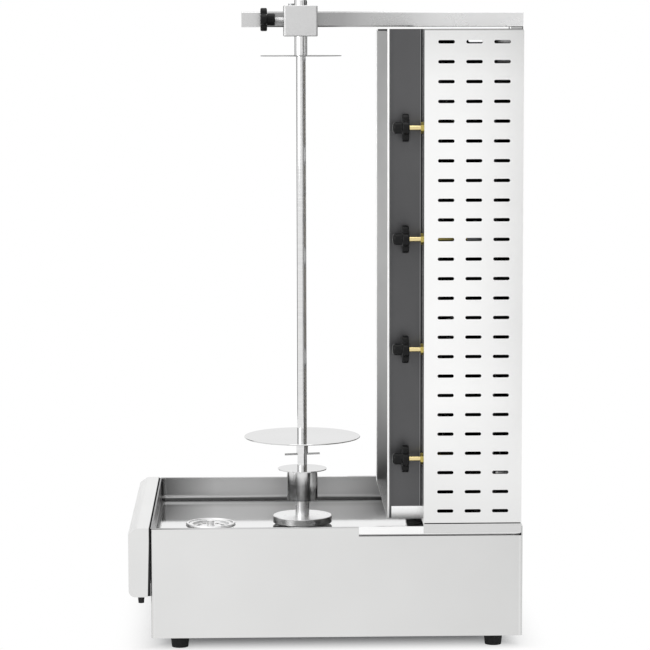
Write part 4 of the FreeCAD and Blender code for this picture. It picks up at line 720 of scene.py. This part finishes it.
def shield_channel(name, forms, wall, start, width, low, high, finish):
    """Upright channel of sheet whose two edges stand on the inner side of the far panel."""
    end = start + width
    sheet = forms.sheet
    web = wall - forms.shield_depth
    corners = ((start, wall), (start, web), (end, web), (end, wall), (end - sheet, wall),
               (end - sheet, web + sheet), (start + sheet, web + sheet), (start + sheet, wall))
    rings = [[(x, y, z) for x, y in corners] for z in (low, high)]
    channel = ring_mesh(name, rings, finish, "burner_unit")
    for face in channel.data.polygons:
        face.use_smooth = False
    return channel


def circle_x(x, centre, radius_at, steps):
    """Points round a front-to-rear axis, at the radius that the angle gives."""
    points = []
    for i in range(steps):
        angle = 2 * math.pi * i / steps
        radius = radius_at(angle)
        points.append((x, centre.y + radius * math.cos(angle), centre.z + radius * math.sin(angle)))
    return points


def star_knob(name, node, body, hub_radius, lobe_depth, hub_in_front, forms, finish):
    """Four-lobed moulded knob in the room of its CAD node; a hub in front ends in a dome."""
    low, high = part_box(node)
    centre = (low + high) / 2
    reach = (high.z - low.z) / 2
    core = reach * forms.core_share
    soft = forms.edge_round

    def lobed(inset):
        def radius_at(angle):
            swell = ((1 + math.cos(KNOB_LOBES * angle)) / 2) ** forms.lobe_fullness
            return core + (reach - core) * swell - inset
        return radius_at

    def plain(radius):
        return lambda angle: radius

    if hub_in_front:
        lobe_far, hub_end, inward = high.x, low.x, -1
        dome = hub_radius * KNOB_DOME_SHARE
    else:
        lobe_far, hub_end, inward = low.x, high.x, 1
        dome = soft
    lobe_near = lobe_far + inward * lobe_depth
    edge = inward * soft
    stations = [(lobe_far + edge * along, lobed(soft * off)) for along, off in KNOB_FRONT_EDGE]
    stations += [(lobe_near - edge * along, lobed(soft * off)) for along, off in KNOB_REAR_EDGE]
    stations += [(lobe_near + edge * along, plain(hub_radius + soft * off)) for along, off in KNOB_HUB_FOOT]
    stations += [(hub_end - inward * dome * along, plain(hub_radius - dome * off))
                 for along, off in KNOB_HUB_END]
    stations.append((hub_end, plain((hub_radius - dome) * KNOB_END_SHARE)))
    rings = [circle_x(x, centre, radius_at, forms.knob_steps) for x, radius_at in stations]
    knob = ring_mesh(name, rings, finish, body)
    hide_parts(node)


def thread(name, body, centre, start, end, root, crest, pitch, finish):
    """A screw thread round a front-to-rear axis, its flanks climbing once each turn."""
    count = int((end - start) / pitch * THREAD_RINGS)
    rings = []
    for k in range(count + 1):
        x = start + (end - start) * k / count
        fade = min(1.0, min(k, count - k) / THREAD_RINGS)

        def radius_at(angle, x=x, fade=fade):
            turn = ((x - start) / pitch - angle / (2 * math.pi)) % 1.0
            return root + (crest - root) * fade * (1 - abs(2 * turn - 1))

        rings.append(circle_x(x, centre, radius_at, THREAD_STEPS))
    return ring_mesh(name, rings, finish, body)


# Pieces


class GrillPiece:
    """What the operators share."""

    bl_options = {"REGISTER", "UNDO"}


class GRILL_OT_casing(GrillPiece, bpy.types.Operator):
    """Satin sheet on the base, drawer, carriage and mast, and dark strips of painted shade behind the
    drawer front
    """

    bl_idname = "grill.casing"
    bl_label = "Casing and Drawer"

    def execute(self, context):
        steel = context.scene.grill_steel
        fittings = context.scene.grill_fittings
        forms = context.scene.grill_forms
        low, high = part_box("base_casing")
        sheet = base_sheet("casing_steel", steel, low.x, high.x)
        dress(sheet, "base_casing", "drawer_box", "front_flanges", "rear_cover", "mast")
        dress(drawer_sheet("drawer_steel", steel, forms.drawer_back), "drawer_front")
        dress(brushed("rail_steel", steel.panel, steel), "side_rails")
        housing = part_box("side_panel_near")[0].x
        dress(carriage_sheet("carriage_steel", steel, housing), "carriage_plate")
        dress(blasted("galvanised", steel.zinc), "bottom_plate", "drawer_runners", "motor_bracket")
        # Dark strips of painted shade in the gap behind the drawer front
        rubber = moulded("seal_rubber", fittings.rubber, roughness=0.7)
        low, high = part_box("drawer_front")
        for end, side in (("near", -1), ("far", 1)):
            outer = side * (high.y - forms.seal_inset)
            inner = outer - side * forms.seal_thick
            strip = gap_shade_strip("drawer_seal_%s" % end, forms, outer, inner, low.z + forms.seal_ends,
                               high.z - forms.seal_ends, rubber)
        return {"FINISHED"}


class GRILL_OT_feet(GrillPiece, bpy.types.Operator):
    """Rubber feet and stubs with their screws"""

    bl_idname = "grill.feet"
    bl_label = "Feet"

    def execute(self, context):
        steel = context.scene.grill_steel
        fittings = context.scene.grill_fittings
        dress(moulded("rubber", fittings.rubber, roughness=0.7), "rubber_feet", "drawer_stubs")
        dress(blasted("screw_zinc", steel.zinc, roughness=0.3), "foot_screws", "mast_bolts", "block_screw")
        return {"FINISHED"}


class GRILL_OT_pan(GrillPiece, bpy.types.Operator):
    """Polished drip pan with its strainer"""

    bl_idname = "grill.pan"
    bl_label = "Drip Pan"

    def execute(self, context):
        steel = context.scene.grill_steel
        forms = context.scene.grill_forms
        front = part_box("drip_pan")[0].x
        dress(pan_sheet("pan_steel", steel, forms.pan_floor, front, forms.pan_side), "drip_pan")
        dress(plain_sheet("strainer_steel", steel.table, steel, roughness=0.5), "drain_strainer")
        return {"FINISHED"}


class GRILL_OT_housing(GrillPiece, bpy.types.Operator):
    """Slotted side panels of the burner housing, and the shields inside the far one, coloured as painted
    shade
    """

    bl_idname = "grill.housing"
    bl_label = "Slotted Panels"

    def execute(self, context):
        steel = context.scene.grill_steel
        forms = context.scene.grill_forms
        low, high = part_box("side_panel_far")
        sheet = slotted_sheet("panel_steel", steel, high.y - CRISP, low.z, high.z)
        dress(sheet, "side_panel_near", "side_panel_far")
        # The shields take the painted shade colour of the inside
        inside_shade = plain_sheet("shield_soot", steel.inside, steel, roughness=0.7)
        wall = high.y - forms.sheet
        foot = low.z - forms.shield_foot
        top = high.z - forms.shield_depth
        for name, start, width, end in (
            ("far_shield_front", forms.shield_front, forms.shield_wide, top),
            ("far_shield_rear", forms.shield_rear, forms.shield_thin, forms.shield_top),
        ):
            shield = shield_channel(name, forms, wall, start, width, foot, end, inside_shade)
        return {"FINISHED"}


class GRILL_OT_shields(GrillPiece, bpy.types.Operator):
    """Side plates with a painted dark reflection, and the reflectors inside them"""

    bl_idname = "grill.shields"
    bl_label = "Side Plates and Reflectors"

    def execute(self, context):
        steel = context.scene.grill_steel
        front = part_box("side_plates")[0].x
        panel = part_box("side_panel_near")[0].x
        dress(plate_with_painted_light("shield_steel", steel, front + steel.hem, panel), "side_plates")
        low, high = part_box("reflectors")
        dress(reflector_darker_below("reflector_steel", steel, low.z, high.z), "reflectors")
        return {"FINISHED"}


class GRILL_OT_burners(GrillPiece, bpy.types.Operator):
    """Burner bodies, tiles, guard grids and mixing tubes"""

    bl_idname = "grill.burners"
    bl_label = "Burners"

    def execute(self, context):
        steel = context.scene.grill_steel
        fittings = context.scene.grill_fittings
        dress(blasted("burner_body", fittings.burner, roughness=0.5), "burner_housings")
        dress(burner_tile("burner_tile", fittings), "burner_ceramics")
        dress(brushed("guard_steel", shade(steel.reflector, 0.6), steel, roughness=0.35), "burner_grids")
        dress(brushed("burner_sheet", steel.reflector, steel, roughness=0.35), "burner_panel")
        dress(blasted("pipe_zinc", steel.zinc, roughness=0.4), "mixing_tubes")
        return {"FINISHED"}


class GRILL_OT_gas(GrillPiece, bpy.types.Operator):
    """Brass taps, gas pipe with its inlet thread, and four star knobs"""

    bl_idname = "grill.gas"
    bl_label = "Taps and Gas Pipe"

    def execute(self, context):
        steel = context.scene.grill_steel
        fittings = context.scene.grill_fittings
        forms = context.scene.grill_forms
        brass = blasted("brass", fittings.brass, roughness=0.13, grain=0.0006, depth=0.00003)
        zinc = blasted("gas_zinc", steel.zinc, roughness=0.38)
        plastic = moulded("knob_plastic", fittings.knob)
        dress(blasted("tap_brass", fittings.nut, roughness=0.3, grain=0.0006, depth=0.00003), "gas_valves")
        dress(zinc, "gas_manifold")
        for number in range(1, 5):
            knob = "gas_knob_%d" % number
            dress(brass, "valve_stem_%d" % number)
            dress(plastic, knob)
            star_knob("gas_star_%d" % number, knob, "tap_knob_%d" % number, forms.tap_hub, forms.tap_lobe,
                      True, forms, plastic)
        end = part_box("gas_manifold")[1].x - forms.inlet_end
        centre = Vector((0.0, forms.inlet_side, forms.inlet_height))
        piece = thread("inlet_thread", "burner_unit", centre, end - forms.inlet_show, end,
                       forms.inlet_radius, forms.inlet_radius + forms.inlet_rise, forms.inlet_pitch, zinc)
        return {"FINISHED"}


class GRILL_OT_spit(GrillPiece, bpy.types.Operator):
    """Turned rod, hub and cup, with the polished discs"""

    bl_idname = "grill.spit"
    bl_label = "Spit and Drive"

    def execute(self, context):
        steel = context.scene.grill_steel
        fittings = context.scene.grill_fittings
        turned = lathe_turned("turned_steel", steel.turned, steel)
        dress(turned, "spit_rod", "cross_pin", "plate_collar", "top_sleeve", "drive_shaft")
        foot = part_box("turntable_disc")[0].z
        top = foot + context.scene.grill_forms.table_thick
        # The turntable's underside and top face carry painted shade and a painted highlight
        table = upright_turned("table_steel", steel.table, steel, TABLE_ROUGHNESS, foot, top, TABLE_SHADE_STOPS)
        dress(table, "turntable_disc")
        low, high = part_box("drive_cup")
        cup = upright_turned("cup_steel", steel.turned, steel, CUP_ROUGHNESS, low.z, high.z, CUP_STOPS)
        dress(cup, "drive_cup")
        dress(polished("disc_steel", steel.plate, steel), "meat_plate", "drip_disc")
        dress(lathe_turned("top_disc_steel", shade(steel.plate, 0.36), steel, roughness=0.35), "top_disc")
        dress(blasted("bush_brass", fittings.brass, roughness=0.3), "shaft_bush")
        enamel = moulded("motor_enamel", fittings.motor, roughness=0.35, grain=0.002)
        dress(enamel, "gearbox", "motor_can")
        return {"FINISHED"}


class GRILL_OT_arm(GrillPiece, bpy.types.Operator):
    """Arm tube, slide block, clamp screw with its thread, and the clamp's star knob"""

    bl_idname = "grill.arm"
    bl_label = "Arm and Clamp"

    def execute(self, context):
        steel = context.scene.grill_steel
        forms = context.scene.grill_forms
        low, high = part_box("arm")
        dress(arm_tube("arm_steel", steel, low.x, high.x), "arm")
        dress(blasted("block_aluminium", steel.block, roughness=0.5), "slide_block")
        plastic = moulded("clamp_plastic", context.scene.grill_fittings.knob)
        dress(plastic, "clamp_knob", "arm_plugs")
        star_knob("clamp_star", "clamp_knob", "clamp_knob", forms.clamp_hub, forms.clamp_lobe, False,
                  forms, plastic)
        zinc = blasted("clamp_zinc", steel.turned, roughness=0.2)
        dress(zinc, "clamp_screw")
        low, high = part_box("clamp_screw")
        radius = (high.z - low.z) / 2
        rod = thread("clamp_thread", "clamp_screw", (low + high) / 2, low.x, high.x,
                     radius - forms.clamp_depth, radius, forms.clamp_pitch, zinc)
        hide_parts("clamp_screw")
        return {"FINISHED"}


class GRILL_OT_gland(GrillPiece, bpy.types.Operator):
    """Glossy nylon on the cable gland"""

    bl_idname = "grill.gland"
    bl_label = "Cable Gland"

    def execute(self, context):
        nylon = moulded("gland_plastic", context.scene.grill_fittings.gland, roughness=0.3)
        dress(nylon, "cable_gland")
        return {"FINISHED"}


# Stage


def white_to_the_eye(tree):
    """One for camera, glossy and transmission rays, and zero for the light that falls on things."""
    path = tree.nodes.new("ShaderNodeLightPath")
    total = path.outputs["Is Camera Ray"]
    for name in ("Is Glossy Ray", "Is Transmission Ray"):
        total = calculate(tree, "MAXIMUM", total, path.outputs[name])
    return total


def make_world(stage):
    world = bpy.data.worlds.new("grill_world")
    bpy.context.scene.world = world
    world.use_nodes = True
    tree = world.node_tree
    background = tree.nodes["Background"]
    background.inputs["Color"].default_value = (1.0, 1.0, 1.0, 1.0)
    strength = tree.nodes.new("ShaderNodeMix")
    strength.inputs["A"].default_value = stage.sky
    strength.inputs["B"].default_value = 1.0
    tree.links.new(white_to_the_eye(tree), strength.inputs["Factor"])
    tree.links.new(strength.outputs["Result"], background.inputs["Strength"])


def make_quad(name, corners):
    """A flat piece of the stage with four corners."""
    mesh = bpy.data.meshes.new(name)
    mesh.from_pydata(corners, [], [(0, 1, 2, 3)])
    quad = bpy.data.objects.new(name, mesh)
    bpy.context.scene.collection.objects.link(quad)
    return quad


def floor_whiteness(tree, stage):
    """How white the floor looks: little under the part, and fully so beside it."""
    place = tree.nodes.new("ShaderNodeTexCoord").outputs["Object"]
    away = calculate(tree, "ABSOLUTE", place, kind="ShaderNodeVectorMath")
    half = (CAD_BOX[1].x, CAD_BOX[1].y, 0.0)
    outside = calculate(tree, "SUBTRACT", away, half, kind="ShaderNodeVectorMath")
    split = tree.nodes.new("ShaderNodeSeparateXYZ")
    tree.links.new(outside, split.inputs["Vector"])
    glow = tree.nodes.new("ShaderNodeMapRange")
    glow.interpolation_type = "SMOOTHSTEP"
    for name, value in (("From Min", -stage.floor_reach), ("From Max", stage.floor_fade),
                        ("To Min", stage.floor_glow), ("To Max", 1.0)):
        glow.inputs[name].default_value = value
    tree.links.new(calculate(tree, "MAXIMUM", split.outputs["X"], split.outputs["Y"]), glow.inputs["Value"])
    return calculate(tree, "MULTIPLY", white_to_the_eye(tree), glow.outputs["Result"])


def make_floor(stage):
    half = FLOOR_HALF
    floor = make_quad("floor", [(-half, -half, 0), (half, -half, 0), (half, half, 0), (-half, half, 0)])
    material = bpy.data.materials.new("floor")
    material.use_nodes = True
    tree = material.node_tree
    tree.nodes.clear()
    matte = tree.nodes.new("ShaderNodeBsdfDiffuse")
    matte.inputs["Color"].default_value = (*stage.floor, 1.0)
    white = tree.nodes.new("ShaderNodeEmission")
    mix = tree.nodes.new("ShaderNodeMixShader")
    tree.links.new(floor_whiteness(tree, stage), mix.inputs["Fac"])
    tree.links.new(matte.outputs["BSDF"], mix.inputs[1])
    tree.links.new(white.outputs["Emission"], mix.inputs[2])
    output = tree.nodes.new("ShaderNodeOutputMaterial")
    tree.links.new(mix.outputs["Shader"], output.inputs["Surface"])
    floor.data.materials.append(material)


def point_at(thing, target):
    thing.rotation_euler = (Vector(target) - thing.location).to_track_quat("-Z", "Y").to_euler()


def make_lamp(name, place, size, power):
    data = bpy.data.lights.new(name, "AREA")
    data.shape = "RECTANGLE"
    data.size, data.size_y = size
    data.energy = power
    lamp = bpy.data.objects.new(name, data)
    lamp.location = place
    bpy.context.scene.collection.objects.link(lamp)
    point_at(lamp, LAMP_AIM)
    lamp.visible_camera = False


def make_card(name, bearing, width, base):
    """A card that only reflections see; the bearing turns from -Y towards +X."""
    turn = math.radians(bearing)
    half = width / 2
    top = CARD_HEIGHT
    card = make_quad(name, [(-half, 0, 0), (half, 0, 0), (half, 0, top), (-half, 0, top)])
    card.location = (CARD_DISTANCE * math.sin(turn), -CARD_DISTANCE * math.cos(turn), CARD_BASE)
    card.rotation_euler = (0.0, 0.0, turn)
    finish = Finish(name, roughness=0.9)
    finish.colour_from(finish.tint(finish.noise(CARD_CLOUDS), shade(base, 0.9), base))
    card.data.materials.append(finish.material)
    card.visible_camera = False
    card.visible_diffuse = False
    card.visible_shadow = False


def make_camera(stage):
    data = bpy.data.cameras.new("camera")
    data.lens = stage.lens
    data.sensor_width = SENSOR_WIDTH
    data.clip_end = VIEW_END
    camera = bpy.data.objects.new("camera", data)
    camera.location = stage.eye
    bpy.context.scene.collection.objects.link(camera)
    point_at(camera, stage.aim)
    camera.rotation_euler.rotate_axis("Z", -stage.roll)
    bpy.context.scene.camera = camera


class GRILL_OT_stage(GrillPiece, bpy.types.Operator):
    """White surroundings, soft lamps, cards for the reflections, floor and camera"""

    bl_idname = "grill.stage"
    bl_label = "Stage and Camera"

    def execute(self, context):
        stage = context.scene.grill_stage
        make_world(stage)
        make_floor(stage)
        for name, (place, size) in LAMPS.items():
            make_lamp("%s_lamp" % name, place, size, getattr(stage, name))
        for name, bearing, width, tone in CARDS:
            make_card(name, bearing, width, getattr(stage, tone))
        make_camera(stage)
        context.scene.view_settings.view_transform = "Standard"
        return {"FINISHED"}


class GRILL_PT_sidebar(bpy.types.Panel):
    """The grill's pieces and settings"""

    bl_label = "Kebab Grill"
    bl_idname = "GRILL_PT_sidebar"
    bl_space_type = "VIEW_3D"
    bl_region_type = "UI"
    bl_category = "Grill"

    def draw(self, context):
        for operator in PIECES:
            self.layout.operator(operator.bl_idname)
        for title, group in SETTINGS.items():
            box = self.layout.box()
            values = getattr(context.scene, title)
            box.label(text=group.__doc__)
            for name in group.__annotations__:
                box.prop(values, name)


SETTINGS = {
    "grill_steel": GrillSteel,
    "grill_fittings": GrillFittings,
    "grill_forms": GrillForms,
    "grill_stage": GrillStage,
}
PIECES = (
    GRILL_OT_casing, GRILL_OT_feet, GRILL_OT_pan, GRILL_OT_housing, GRILL_OT_shields,
    GRILL_OT_burners, GRILL_OT_gas, GRILL_OT_spit, GRILL_OT_arm, GRILL_OT_gland, GRILL_OT_stage,
)
CLASSES = (*SETTINGS.values(), *PIECES, GRILL_PT_sidebar)


def register():
    for cls in CLASSES:
        bpy.utils.register_class(cls)
    for name, group in SETTINGS.items():
        setattr(bpy.types.Scene, name, PointerProperty(type=group))


def unregister():
    for name in SETTINGS:
        delattr(bpy.types.Scene, name)
    for cls in reversed(CLASSES):
        bpy.utils.unregister_class(cls)


def main():
    register()
    bpy.ops.grill.casing()
    bpy.ops.grill.feet()
    bpy.ops.grill.pan()
    bpy.ops.grill.housing()
    bpy.ops.grill.shields()
    bpy.ops.grill.burners()
    bpy.ops.grill.gas()
    bpy.ops.grill.spit()
    bpy.ops.grill.arm()
    bpy.ops.grill.gland()
    bpy.ops.grill.stage()


if __name__ == "__main__":
    main()
